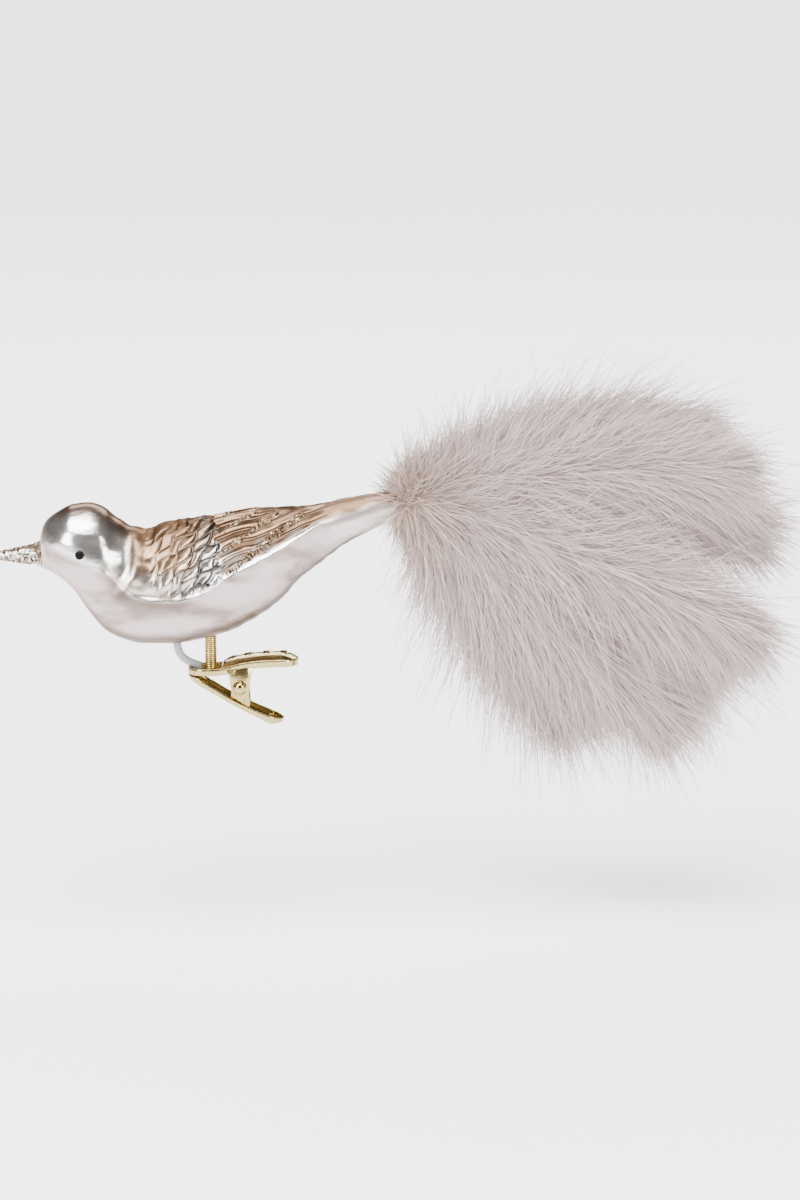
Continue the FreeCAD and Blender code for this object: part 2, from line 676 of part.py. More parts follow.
def check_and_write(parts):
    """Stop at any failed object, then write each sub-part as a STEP file."""
    DOC.recompute()
    failed = [item.Name for item in DOC.Objects if {"Invalid", "Error"} & set(item.State)]
    if failed:
        raise RuntimeError("failed objects: " + ", ".join(failed))
    os.makedirs("parts", exist_ok=True)
    for part in parts:
        shape = part.Shape
        if shape.isNull() or not shape.isValid():
            raise RuntimeError("bad shape: " + part.Label)
        if not shape.Solids:
            raise RuntimeError("no solid: " + part.Label)
        shape.exportStep(os.path.join("parts", part.Label + ".step"))
        print(part.Label, len(shape.Solids), "solids,", round(shape.Volume, 2), "mm3")


make_sheet()
glass, skin, inner = make_glass()
finished = [glass]
finished += make_coats(skin)
finished += make_leg(inner)
finished.append(make_tie())
finished.append(make_upper_lever())
finished.append(make_lower_lever())
finished.append(make_pivot_rivet())
finished.append(make_torsion_spring())
finished += make_tail(inner)
check_and_write(finished)
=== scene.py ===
"""Looks of the clip-on glass bird: blown glass, glitter, brass clip and plume tail.

Lengths are in millimetres until a mesh is made; MM turns them into the frame's metres.
"""
import json
import math
from functools import partialmethod

import bmesh
import bpy
import numpy as np
from mathutils import Matrix, Vector


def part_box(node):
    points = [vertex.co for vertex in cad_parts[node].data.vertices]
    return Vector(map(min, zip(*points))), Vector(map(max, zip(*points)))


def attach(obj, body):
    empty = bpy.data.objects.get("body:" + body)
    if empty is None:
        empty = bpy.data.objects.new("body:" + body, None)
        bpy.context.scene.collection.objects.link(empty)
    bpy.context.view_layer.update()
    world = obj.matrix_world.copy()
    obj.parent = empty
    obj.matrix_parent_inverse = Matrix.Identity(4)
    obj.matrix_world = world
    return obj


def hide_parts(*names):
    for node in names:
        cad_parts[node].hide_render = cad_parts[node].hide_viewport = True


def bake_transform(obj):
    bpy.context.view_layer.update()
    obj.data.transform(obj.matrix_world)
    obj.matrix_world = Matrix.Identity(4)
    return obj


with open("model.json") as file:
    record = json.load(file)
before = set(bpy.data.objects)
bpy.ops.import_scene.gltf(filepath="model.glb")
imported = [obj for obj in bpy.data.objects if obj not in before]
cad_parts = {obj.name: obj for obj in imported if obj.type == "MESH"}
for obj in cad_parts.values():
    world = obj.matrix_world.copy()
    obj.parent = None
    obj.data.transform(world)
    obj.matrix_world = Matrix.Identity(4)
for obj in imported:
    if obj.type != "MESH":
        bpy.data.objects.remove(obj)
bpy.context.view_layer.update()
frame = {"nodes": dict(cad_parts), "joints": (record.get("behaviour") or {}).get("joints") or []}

MM = 0.001


def node_box(name):
    """Lowest and highest corner of a CAD node, in millimetres."""
    low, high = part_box(name)
    return np.array(low) / MM, np.array(high) / MM


glass_low, glass_high = node_box("glass_body")
MOUTH_X = glass_high[0]
BEAK_TIP_X = glass_low[0]
leg_low, leg_high = node_box("leg_spring")
LEG_X = (leg_low[0] + leg_high[0]) / 2
LEG_RADIUS = (leg_high[0] - leg_low[0]) / 2
rivet_low, rivet_high = node_box("pivot_rivet")
PIVOT = (rivet_low + rivet_high) / 2
joint_named = {joint["name"]: joint for joint in frame["joints"]}
PITCH_Z = joint_named["leg_pitch"]["pos_m"][2] / MM
ROLL_Z = joint_named["bird_roll"]["pos_m"][2] / MM


# ---------------------------------------------------------------- node helpers

def is_arrow(value):
    """Whether a value is a vector rather than a number."""
    if isinstance(value, Socket):
        return value.socket.type in ("VECTOR", "RGBA")
    return isinstance(value, tuple)


class Socket:
    """A node tree's socket that takes part in sums, as a number or as a vector."""

    def __init__(self, tree, socket):
        self.tree = tree
        self.socket = socket

    def sum_node(self, operation, other, swap=False):
        """The node for this socket's sum with another value."""
        first, second = (other, self) if swap else (self, other)
        if not is_arrow(self) and not is_arrow(other):
            return self.tree.make("ShaderNodeMath", {"operation": operation}, {0: first, 1: second})
        if operation == "MULTIPLY" and is_arrow(self) != is_arrow(other):
            arrow, factor = (self, other) if is_arrow(self) else (other, self)
            return self.tree.make("ShaderNodeVectorMath", {"operation": "SCALE"},
                                  {0: arrow, "Scale": factor})
        return self.tree.arrow(operation, first, second)

    __add__ = partialmethod(sum_node, "ADD")
    __radd__ = partialmethod(sum_node, "ADD", swap=True)
    __sub__ = partialmethod(sum_node, "SUBTRACT")
    __rsub__ = partialmethod(sum_node, "SUBTRACT", swap=True)
    __mul__ = partialmethod(sum_node, "MULTIPLY")
    __rmul__ = partialmethod(sum_node, "MULTIPLY", swap=True)
    __truediv__ = partialmethod(sum_node, "DIVIDE")
    __pow__ = partialmethod(sum_node, "POWER")


class Tree:
    """Builds nodes in one node tree."""

    def __init__(self, tree):
        self.tree = tree
        self.column = 0

    def make(self, kind, settings=None, inputs=None, output=0):
        """A node with its settings made first and its inputs filled or linked."""
        node = self.tree.nodes.new(kind)
        self.column += 1
        node.location = (180 * (self.column % 12), -220 * (self.column // 12))
        for name, value in (settings or {}).items():
            setattr(node, name, value)
        self.fill(node, inputs or {})
        return Socket(self, node.outputs[output])

    def fill(self, node, inputs):
        """Set or link several inputs of a node."""
        for key, value in inputs.items():
            self.feed(node.inputs[key], value)

    def feed(self, target, value):
        """Set or link one input."""
        if isinstance(value, Socket):
            self.tree.links.new(value.socket, target)
        elif target.type == "RGBA" and len(value) == 3:
            target.default_value = (*value, 1.0)
        else:
            target.default_value = value

    def ramp(self, factor, stops):
        """A colour ramp from (place, colour) stops."""
        out = self.make("ShaderNodeValToRGB", None, {"Fac": factor})
        ramp = out.socket.node.color_ramp
        for number, (place, colour) in enumerate(stops):
            stop = ramp.elements[number] if number < 2 else ramp.elements.new(place)
            stop.position = place
            stop.color = (*colour, 1.0)
        return out

    def blend(self, factor, first, second):
        """Mix of two colours."""
        node = self.make("ShaderNodeMix", {"data_type": "RGBA"}, {"Factor": factor}).socket.node
        self.fill(node, {6: first, 7: second})
        return Socket(self, node.outputs[2])

    def attribute(self, name):
        """A number stored on the mesh."""
        return self.make("ShaderNodeAttribute", {"attribute_name": name}, output="Fac")

    def noise(self, scale, detail=3.0, place=None, stretch=(1, 1, 1)):
        """Noise on object coordinates, scale in cells to the metre."""
        spot = place or self.make("ShaderNodeTexCoord", output="Object")
        mapped = self.make("ShaderNodeMapping", None, {"Vector": spot, "Scale": stretch})
        return self.make("ShaderNodeTexNoise", None,
                         {"Vector": mapped, "Scale": scale, "Detail": detail})

    def number(self, operation, value):
        """Maths on one number, such as a sine."""
        return self.make("ShaderNodeMath", {"operation": operation}, {0: value})

    def arrow(self, operation, *values):
        """Vector maths, such as a cross product."""
        return self.make("ShaderNodeVectorMath", {"operation": operation}, dict(enumerate(values)))

    def bump(self, height, strength, distance):
        """A normal leaning with a height."""
        return self.make("ShaderNodeBump", None,
                         {"Strength": strength, "Distance": distance, "Height": height})

    def step(self, value, low, high):
        """Smooth step of a number from low to high."""
        return self.make("ShaderNodeMapRange", {"interpolation_type": "SMOOTHSTEP"},
                         {"Value": value, "From Min": low, "From Max": high})


def new_material(name, constants):
    """A node material with its shader's constants: the material, its tree and its shader."""
    material = bpy.data.materials.new(name)
    material.use_nodes = True
    shader = material.node_tree.nodes["Principled BSDF"]
    for label, value in constants.items():
        shader.inputs[label].default_value = value
    return material, Tree(material.node_tree), shader


# ---------------------------------------------------------------- mesh helpers

def new_object(name, data):
    """An object in the scene."""
    piece = bpy.data.objects.new(name, data)
    bpy.context.scene.collection.objects.link(piece)
    return piece


def new_piece(name, points, faces, material, smooth=True):
    """A mesh piece from points in millimetres."""
    mesh = bpy.data.meshes.new(name)
    mesh.from_pydata((np.asarray(points) * MM).tolist(), [], faces)
    mesh.materials.append(material)
    mesh.polygons.foreach_set("use_smooth", [smooth] * len(mesh.polygons))
    mesh.validate()
    mesh.update()
    return new_object(name, mesh)


def store(piece, name, values):
    """A number on every point of a piece."""
    attribute = piece.data.attributes.new(name, "FLOAT", "POINT")
    attribute.data.foreach_set("value", np.asarray(values, np.float32))


def grid_faces(rows, columns, closed=True, offset=0):
    """Quads between rows of points; the rows close on themselves."""
    faces = []
    wide = columns if closed else columns - 1
    for row in range(rows - 1):
        for column in range(wide):
            right = (column + 1) % columns
            a = offset + row * columns
            faces.append((a + column, a + columns + column, a + columns + right, a + right))
    return faces


def cap_faces(row_start, columns, pole, flip):
    """Triangles from one row to a pole."""
    faces = []
    for column in range(columns):
        a = row_start + column
        b = row_start + (column + 1) % columns
        faces.append((a, b, pole) if flip else (b, a, pole))
    return faces


def lathe(profile, columns=48):
    """Points and faces of a profile of (along, radius) turned about X; its ends are poles."""
    turn = np.linspace(0, 2 * math.pi, columns, endpoint=False)
    rows = [np.column_stack([np.full(columns, along), radius * np.cos(turn), radius * np.sin(turn)])
            for along, radius in profile]
    points = np.vstack(rows + [[[profile[0][0], 0, 0]], [[profile[-1][0], 0, 0]]])
    count = len(profile)
    faces = grid_faces(count, columns)
    faces += cap_faces(0, columns, count * columns, True)
    faces += cap_faces((count - 1) * columns, columns, count * columns + 1, False)
    return points, [tuple(reversed(face)) for face in faces]


def join_parts(parts):
    """One list of points and faces from several."""
    points = []
    faces = []
    count = 0
    for part_points, part_faces in parts:
        points.append(np.asarray(part_points, float))
        faces += [tuple(index + count for index in face) for face in part_faces]
        count += len(part_points)
    return np.vstack(points), faces


def tube(path, radii, columns=20):
    """Round tube along a path of points, with domed ends."""
    path = np.asarray(path, float)
    radii = np.broadcast_to(radii, len(path))
    along = np.gradient(path, axis=0)
    along /= np.linalg.norm(along, axis=1)[:, None]
    side = np.cross(along, (0, 1, 0.01))
    side /= np.linalg.norm(side, axis=1)[:, None]
    up = np.cross(side, along)
    turn = np.linspace(0, 2 * math.pi, columns, endpoint=False)
    rows = [path[i] + radii[i] * (np.outer(np.cos(turn), side[i]) + np.outer(np.sin(turn), up[i]))
            for i in range(len(path))]
    points = np.vstack(rows + [[path[0] - along[0] * radii[0] * 0.4],
                               [path[-1] + along[-1] * radii[-1] * 0.4]])
    faces = grid_faces(len(path), columns)
    faces += cap_faces(0, columns, len(path) * columns, True)
    faces += cap_faces((len(path) - 1) * columns, columns, len(path) * columns + 1, False)
    return points, faces


def smooth_curve(places, values):
    """A smooth rule through (place, value) pairs that never overshoots them."""
    places = np.asarray(places, float)
    values = np.asarray(values, float)
    step = np.diff(places)
    slope = np.diff(values) / step
    lean = np.zeros_like(values)
    same_way = slope[:-1] * slope[1:] > 0
    weight_a = 2 * step[1:] + step[:-1]
    weight_b = step[1:] + 2 * step[:-1]
    with np.errstate(divide="ignore", invalid="ignore"):
        mean = (weight_a + weight_b) / (weight_a / slope[:-1] + weight_b / slope[1:])
    lean[1:-1] = np.where(same_way, mean, 0)
    lean[0] = slope[0]
    lean[-1] = slope[-1]

    def rule(x):
        x = np.clip(x, places[0], places[-1])
        i = np.clip(np.searchsorted(places, x) - 1, 0, len(step) - 1)
        t = (x - places[i]) / step[i]
        a = (1 + 2 * t) * (1 - t) ** 2
        b = t * (1 - t) ** 2
        c = t * t * (3 - 2 * t)
        d = t * t * (t - 1)
        return a * values[i] + b * step[i] * lean[i] + c * values[i + 1] + d * step[i] * lean[i + 1]

    return rule


def smooth_step(low, high, value):
    """0 below low, 1 above high, smooth between."""
    t = np.clip((value - low) / (high - low), 0, 1)
    return t * t * (3 - 2 * t)


def settle(name, piece):
    """The evaluated shape of a piece as a plain mesh; the piece and its modifiers go."""
    bpy.context.view_layer.update()
    graph = bpy.context.evaluated_depsgraph_get()
    mesh = bpy.data.meshes.new_from_object(piece.evaluated_get(graph))
    mesh.name = name
    plain = new_object(name, mesh)
    bpy.data.objects.remove(piece)
    return plain


# ---------------------------------------------------------------- geometry node helpers

def new_growth(name, inputs):
    """A geometry node group with named inputs: its tree, a way to read inputs, its finish."""
    group = bpy.data.node_groups.new(name, "GeometryNodeTree")
    group.interface.new_socket("Geometry", in_out="INPUT", socket_type="NodeSocketGeometry")
    for label, kind in inputs.items():
        group.interface.new_socket(label, in_out="INPUT", socket_type="NodeSocket" + kind)
    group.interface.new_socket("Geometry", in_out="OUTPUT", socket_type="NodeSocketGeometry")
    tree = Tree(group)
    source = group.nodes.new("NodeGroupInput")

    def read(label):
        return Socket(tree, source.outputs[label])

    def finish(geometry):
        out = group.nodes.new("NodeGroupOutput")
        whole = tree.make("GeometryNodeRealizeInstances", None, {0: geometry})
        dressed = tree.make("GeometryNodeSetMaterial", None,
                            {"Geometry": whole, "Material": read("Material")})
        tree.feed(out.inputs[0], dressed)

    return group, tree, read, finish


def grow(name, base, group, values):
    """Run a geometry node group on a base object and return the plain result."""
    modifier = base.modifiers.new(group.name, "NODES")
    modifier.node_group = group
    for item in group.interface.items_tree:
        if item.item_type == "SOCKET" and item.in_out == "INPUT" and item.name in values:
            modifier[item.identifier] = values[item.name]
    return settle(name, base)


def point_value(tree, name, vector=False):
    """A value stored on the points."""
    kind = "FLOAT_VECTOR" if vector else "FLOAT"
    return tree.make("GeometryNodeInputNamedAttribute", {"data_type": kind}, {"Name": name})


def keep_value(tree, geometry, name, value, vector=False):
    """Store a value on the points of a geometry."""
    kind = "FLOAT_VECTOR" if vector else "FLOAT"
    return tree.make("GeometryNodeStoreNamedAttribute", {"data_type": kind, "domain": "POINT"},
                     {"Geometry": geometry, "Name": name, "Value": value})


def random_number(tree, low, high, seed):
    node = tree.make("FunctionNodeRandomValue", {"data_type": "FLOAT"}, {"Seed": seed}).socket.node
    node.inputs[2].default_value = low
    node.inputs[3].default_value = high
    return Socket(tree, node.outputs[1])


def random_vector(tree, reach, seed):
    node = tree.make("FunctionNodeRandomValue", {"data_type": "FLOAT_VECTOR"},
                     {"Seed": seed}).socket.node
    node.inputs[0].default_value = (-reach, -reach, -reach)
    node.inputs[1].default_value = (reach, reach, reach)
    return Socket(tree, node.outputs[0])


# ---------------------------------------------------------------- materials

# Masks that are stored on the glass and read by its material: lacquer paints, painted shade in the grooves,
# the neck crease and under the wing, and a painted dark reflection along the underside.
PAINTS = ("bronze", "groove_shade", "pearl", "gold", "cream", "shade_and_dark_reflection")


def glass_material():
    """Silver mirror glass under satin pearl, gold, bronze and rose lacquer, with painted shade in the
    grooves, the neck crease and under the wing, and a painted dark reflection along the underside.
    """
    material, tree, shader = new_material("silvered_glass_lacquer", {
        "Specular Tint": (0.42, 0.33, 0.27, 1.0), "Coat Weight": 0.15, "Coat Roughness": 0.10})
    bronze, groove_shade, pearl, gold, cream, shade_and_dark_reflection = (tree.attribute(name) for name in PAINTS)
    cloud = tree.noise(150.0, 4.0)
    streaky = tree.noise(380.0, 3.0, stretch=(0.35, 1.0, 1.0))
    silver = tree.blend(cloud, (0.62, 0.60, 0.58), (0.80, 0.78, 0.76))
    smudge = tree.step(tree.noise(110.0, 6.0, stretch=(0.45, 1.0, 1.3)), 0.34, 0.60)
    satin = tree.blend(smudge, (0.22, 0.165, 0.155), (0.56, 0.455, 0.455))
    colour = tree.blend(pearl, silver, satin)
    colour = tree.blend(cream, colour, (0.66, 0.49, 0.37))
    colour = tree.blend(gold, colour, tree.blend(streaky, (0.24, 0.125, 0.055), (0.44, 0.27, 0.145)))
    brown = tree.blend(streaky, (0.085, 0.048, 0.026), (0.24, 0.145, 0.088))
    colour = tree.blend(bronze, colour, brown)
    # Painted dark reflection along the underside and painted shadow under the wing's front edge, in dark
    # olive brown.
    colour = tree.blend(shade_and_dark_reflection, colour, (0.09, 0.062, 0.04))
    # Painted shade: the grooves between the moulded feathers and the neck crease are painted near black,
    # dark brown on the gold, for the shade that falls in them.
    sunk_shade = tree.blend(gold, (0.020, 0.018, 0.015), (0.085, 0.048, 0.026))
    colour = tree.blend(groove_shade * 0.95, colour, sunk_shade)
    rough = 0.17 + 0.20 * pearl + 0.05 * cloud + 0.10 * bronze + 0.10 * gold + 0.12 * cream
    ripple = tree.noise(240.0, 2.0, stretch=(0.5, 1.0, 1.0))
    grain = tree.noise(2600.0, 2.0)
    tree.fill(shader, {"Base Color": colour, "Roughness": rough, "Metallic": 0.97 - 0.30 * pearl,
                       "Normal": tree.bump(ripple + 0.04 * grain, 0.45, 0.0008)})
    return material


def glitter_material():
    """Champagne glitter: each grain has its own tone."""
    material, tree, shader = new_material("champagne_glitter", {"Metallic": 0.9})
    tone = tree.attribute("tone")
    colour = tree.ramp(tone, [(0.0, (0.02, 0.012, 0.006)), (0.42, (0.12, 0.072, 0.035)),
                              (0.78, (0.34, 0.22, 0.12)), (1.0, (1.0, 0.86, 0.66))])
    tree.fill(shader, {"Base Color": colour, "Roughness": 0.30 + 0.20 * tone})
    return material


def brass_material(name, light, dark, roughness):
    """Bright brass plate, a little uneven and scuffed."""
    material, tree, shader = new_material(name, {"Metallic": 1.0})
    wear = tree.noise(900.0, 4.0)
    scuff = tree.noise(3000.0, 2.0, stretch=(0.2, 1.0, 1.0))
    tree.fill(shader, {"Base Color": tree.blend(wear, dark, light),
                       "Roughness": roughness + 0.12 * scuff,
                       "Normal": tree.bump(scuff, 0.12, 0.0002)})
    return material


def enamel_material():
    """Black enamel of the eyes."""
    material, tree, shader = new_material("black_enamel", {"Specular IOR Level": 0.05})
    speck = tree.noise(1500.0, 2.0)
    colour = tree.blend(speck, (0.002, 0.002, 0.002), (0.006, 0.005, 0.005))
    tree.fill(shader, {"Base Color": colour, "Roughness": 0.10 + 0.04 * speck})
    return material


def plastic_material():
    """Milky soft plastic of the tie."""
    material, tree, shader = new_material("milky_plastic", {"Transmission Weight": 0.25})
    haze = tree.noise(700.0, 3.0)
    colour = tree.blend(haze, (0.26, 0.27, 0.29), (0.42, 0.43, 0.46))
    tree.fill(shader, {"Base Color": colour, "Roughness": 0.32 + 0.15 * haze})
    return material


def cement_material(name, light, dark):
    """Matte cement, glue or thread."""
    material, tree, shader = new_material(name, {})
    grain = tree.noise(2400.0, 4.0)
    tree.fill(shader, {"Base Color": tree.blend(grain, dark, light),
                       "Roughness": 0.75 + 0.15 * grain,
                       "Normal": tree.bump(grain, 0.3, 0.0001)})
    return material


def down_material():
    """Marabou down: pinkish greige, warmer at the root, paler in single strands."""
    # The down glows faintly in its own colour through Emission Strength and Emission Color: painted light
    # that lifts its shade.
    material, tree, shader = new_material("marabou_down", {
        "Emission Strength": 0.22, "Roughness": 0.7, "Sheen Weight": 0.3,
        "Specular IOR Level": 0.25})
    tone = tree.attribute("tone")
    tip = tree.attribute("tip")
    root = tree.attribute("root")
    cloud = tree.noise(60.0, 3.0)
    colour = tree.ramp(tone, [(0.0, (0.40, 0.30, 0.295)), (0.35, (0.49, 0.385, 0.38)),
                              (0.88, (0.56, 0.45, 0.44)), (1.0, (0.84, 0.70, 0.62))])
    colour = tree.blend(0.45 * cloud, colour, (0.53, 0.42, 0.42))
    colour = tree.blend(root * 0.75, colour, (0.38, 0.25, 0.17))
    colour = tree.blend(tip * 0.5, colour, (0.34, 0.28, 0.27))
    tree.fill(shader, {"Base Color": colour, "Emission Color": colour})
    return material


GLASS = glass_material()
GLITTER = glitter_material()
PLATE = brass_material("brass_plate", (0.58, 0.46, 0.21), (0.30, 0.225, 0.085), 0.06)
WIRE = brass_material("brass_wire", (0.70, 0.55, 0.22), (0.50, 0.36, 0.12), 0.12)
SPRING_STEEL = brass_material("spring_wire", (0.70, 0.66, 0.55), (0.50, 0.46, 0.36), 0.2)
ENAMEL = enamel_material()
PLASTIC = plastic_material()
CEMENT = cement_material("white_cement", (0.88, 0.86, 0.80), (0.74, 0.70, 0.62))
THREAD = cement_material("waxed_thread", (0.72, 0.62, 0.50), (0.55, 0.46, 0.36))
DOWN = down_material()


# ---------------------------------------------------------------- blown glass

# Place along X, underside, top and half-width of the blown form.
BEAK_LINE = 29.9
FORM = [
    (-52.5, 29.55, 30.25, 0.35),
    (-51.9, 29.38, 30.50, 0.56),
    (-46.0, 28.45, 31.95, 1.75),
    (-40.4, 27.62, 33.45, 2.90),
    (-39.75, 27.35, 34.4, 3.60),
    (-39.3, 27.1, 36.7, 4.75),
    (-38.7, 26.85, 38.1, 5.60),
    (-37.6, 26.35, 39.5, 6.90),
    (-35.0, 24.9, 41.35, 8.9),
    (-31.5, 21.8, 43.0, 10.6),
    (-27.5, 15.9, 43.45, 11.5),
    (-23.0, 10.9, 42.0, 11.9),
    (-19.5, 9.2, 39.4, 12.0),
    (-16.5, 8.35, 37.15, 12.4),
    (-13.5, 7.95, 37.35, 13.0),
    (-8.0, 7.9, 39.35, 13.5),
    (-2.0, 8.6, 40.2, 13.6),
    (7.0, 11.0, 41.7, 13.0),
    (13.0, 13.9, 42.6, 12.1),
    (19.0, 18.0, 42.9, 10.6),
    (25.0, 24.2, 43.2, 8.6),
    (31.0, 29.1, 43.7, 6.8),
    (37.0, 33.5, 44.7, 5.3),
    (43.0, 36.6, 45.8, 4.3),
    (MOUTH_X, 39.6, 46.5, 3.25),
]
HEAD_X = -27.5
HEAD_Z = 31.4
HEAD_RADIUS = 12.3
GLASS_WALL = 0.8
# Places along X where the spacing of the mesh's rows changes, and rows to the millimetre.
ROW_DENSITY = [(-52.5, 2.0), (-41.0, 2.0), (-39.0, 4.0), (-22.0, 3.0), (-17.0, 4.6), (28.0, 4.6),
               (34.0, 2.2), (50.0, 1.6)]
GLASS_COLUMNS = 232
BELLY_THINNING = 0.45

# Lower edge of the wing seen from the side, from the neck back to the tail tube.
WING_EDGE = [(-24.0, 28.6), (-22.0, 27.2), (-19.0, 24.3), (-15.3, 22.1), (-8.2, 21.3), (-2.5, 21.8),
             (3.0, 24.0), (6.6, 26.8), (13.0, 30.0), (19.4, 33.2), (30.0, 39.6)]
FEATHER_LEAN = (62.0, 1.35, 30.0)
SCALE_LENGTH = 7.4
SCALE_WIDTH = 3.1
SCALE_LEAN = 54.0
SCALE_CENTRE = (-1.0, 30.0)
SCALE_BEND = 0.012
QUILL_SPACING = 2.75

form_x, form_low, form_top, form_wide = (np.array(column) for column in zip(*FORM))
low_at = smooth_curve(form_x, form_low)
top_at = smooth_curve(form_x, form_top)
wide_at = smooth_curve(form_x, form_wide)
wing_edge_at = smooth_curve(*zip(*WING_EDGE))

lean_x = np.linspace(-60, 60, 1201)
lean_angle = np.radians(np.clip(FEATHER_LEAN[0] - FEATHER_LEAN[1] * (lean_x + 10),
                                FEATHER_LEAN[2], FEATHER_LEAN[0]))
lean_rise = np.cumsum(np.tan(lean_angle)) * (lean_x[1] - lean_x[0])
lean_run = np.cumsum(1 / np.cos(lean_angle)) * (lean_x[1] - lean_x[0])
lean_rise -= np.interp(0, lean_x, lean_rise)
lean_run -= np.interp(0, lean_x, lean_run)


def ring_turns(columns):
    """Angles round the body from the back line, set wider apart under the belly."""
    share = np.linspace(0, 1, columns // 2 + 1)
    fine = np.linspace(0, math.pi, 400)
    density = 1 - (1 - BELLY_THINNING) * smooth_step(1.9, 2.4, fine)
    grown = np.cumsum(density)
    half = np.interp(share * grown[-1], grown, fine)
    half[0] = 0.0
    return np.concatenate([half, 2 * math.pi - half[-2:0:-1]])


def ring_at(x, columns):
    """Points round the blown form at places along X, and the girth from the back line."""
    turn = ring_turns(columns)
    x = np.asarray(x, float)[:, None]
    half = (top_at(x) - low_at(x)) / 2
    middle = (top_at(x) + low_at(x)) / 2
    egg = 1 + 0.07 * np.cos(turn) * smooth_step(-26, -14, x) * smooth_step(20, 4, x)
    y = wide_at(x) * np.sin(turn) * (2 - egg)
    z = middle + half * np.cos(turn)
    points = np.stack([np.broadcast_to(x, y.shape), y, z], axis=-1)
    step = np.linalg.norm(np.diff(points, axis=1), axis=2)
    half_count = columns // 2
    girth = np.zeros(y.shape)
    girth[:, 1:half_count + 1] = np.cumsum(step[:, :half_count], axis=1)
    girth[:, half_count + 1:] = girth[:, 1:half_count][:, ::-1]
    return points, girth


def feather_marks(points, girth):
    """Relief heights and paint masks of the moulded feathers."""
    x = points[..., 0]
    z = points[..., 2]
    unrolled = top_at(x) - girth
    across = (unrolled - np.interp(x, lean_x, lean_rise)) * np.cos(np.interp(x, lean_x, lean_angle))
    along = np.interp(x, lean_x, lean_run)
    drop = z - wing_edge_at(x)
    wing = smooth_step(-0.35, 0.75, drop) * smooth_step(-24.5, -20.5, x) * smooth_step(35, 27, x)
    marked = smooth_step(0, 4.5, x + 14.5 - 0.25 * (30 - z)) * smooth_step(0.2, 1.6, drop)
    split = 6.0 - 0.157 * (z - 27) + 0.9 * np.sin(z * 1.5)
    long_feathers = smooth_step(-0.7, 1.0, x - split)

    lean = math.radians(SCALE_LEAN)
    lifted = unrolled - SCALE_CENTRE[1]
    shifted = x - SCALE_CENTRE[0]
    bent = lifted * math.cos(lean) - shifted * math.sin(lean) + SCALE_BEND * shifted ** 2
    slid = shifted * math.cos(lean) + lifted * math.sin(lean)
    bent = bent + 0.34 * np.sin(slid * 0.8 + 0.8 * np.sin(bent)) + 0.22 * np.sin(slid * 0.37 + 2.0)
    slid = slid + 0.8 * np.sin(bent * 1.15 + 0.4) + 0.6 * np.sin(bent * 0.53 - slid * 0.21)
    rising = slid / SCALE_LENGTH + bent / SCALE_WIDTH
    falling = slid / SCALE_LENGTH - bent / SCALE_WIDTH
    first = np.mod(rising, 1) - 0.5
    second = np.mod(falling, 1) - 0.5
    odd = np.sin(3.7 * np.floor(rising) + 2.3 * np.floor(falling) ** 2)
    other = np.sin(5.1 * np.floor(falling) - 1.9 * np.floor(rising) ** 2)
    rim = 0.5 - np.maximum(np.abs(first), np.abs(second))
    dome = np.sqrt(np.clip((1 - 4 * first ** 2) * (1 - 4 * second ** 2), 0, 1))
    scale = dome * (1 + 0.15 * odd) + 0.35 * odd * (first - second) * dome + 0.25 * (first + other * second)
    small_gap = smooth_step(0.25, 0.08, rim)
    strength = 0.40 + 0.60 * smooth_step(-10, -1, x)

    ridge_v = np.mod(across / QUILL_SPACING + 0.12 * np.sin(along * 0.35), 1) - 0.5
    ridge = 1 - smooth_step(0.10, 0.5, np.abs(ridge_v))
    long_gap = smooth_step(0.36, 0.48, np.abs(ridge_v))
    fine = np.sin(across * 6.0 + 1.2 * np.sin(along * 0.5))

    small = wing * marked * (1 - long_feathers)
    long = wing * long_feathers * smooth_step(0.3, 1.8, drop)
    relief = 0.55 * wing + 0.66 * small * strength * scale + 0.75 * long * ridge + 0.02 * long * fine
    # Mask of painted shade in the gaps between the scales and between the long feathers.
    gap = small * strength * small_gap + 0.7 * long * long_gap
    return relief, gap, wing, small, long, drop


def body_relief(points):
    """Soft unevenness of the blown body, the neck crease and the cheek."""
    x, y, z = points[..., 0], points[..., 1], points[..., 2]
    relief = 0.11 * np.sin(x * 0.45 + 2 * np.sin(z * 0.4)) * np.sin(z * 0.95 + np.cos(x * 0.3))
    relief += 0.05 * np.sin(x * 0.9 + z * 1.5) * np.sin(y * 1.1)
    relief *= smooth_step(-24, -12, x) * smooth_step(45, 30, x)
    reach = np.hypot(x - HEAD_X, z - HEAD_Z)
    bearing = np.degrees(np.arctan2(z - HEAD_Z, x - HEAD_X))
    behind = smooth_step(-78, -42, bearing) * smooth_step(62, 30, bearing)
    crease = np.exp(-((reach - HEAD_RADIUS) / 2.0) ** 2) * behind
    cheek = np.exp(-((reach - HEAD_RADIUS + 3.2) / 2.2) ** 2) * behind
    return relief - 0.85 * crease + 0.30 * cheek, crease


def surface_normals(points):
    """Outward normals of a closed grid of points."""
    along = np.gradient(points, axis=0)
    around = np.roll(points, -1, axis=1) - np.roll(points, 1, axis=1)
    normal = np.cross(around, along)
    size = np.linalg.norm(normal, axis=2)[..., None]
    return normal / np.maximum(size, 1e-9)


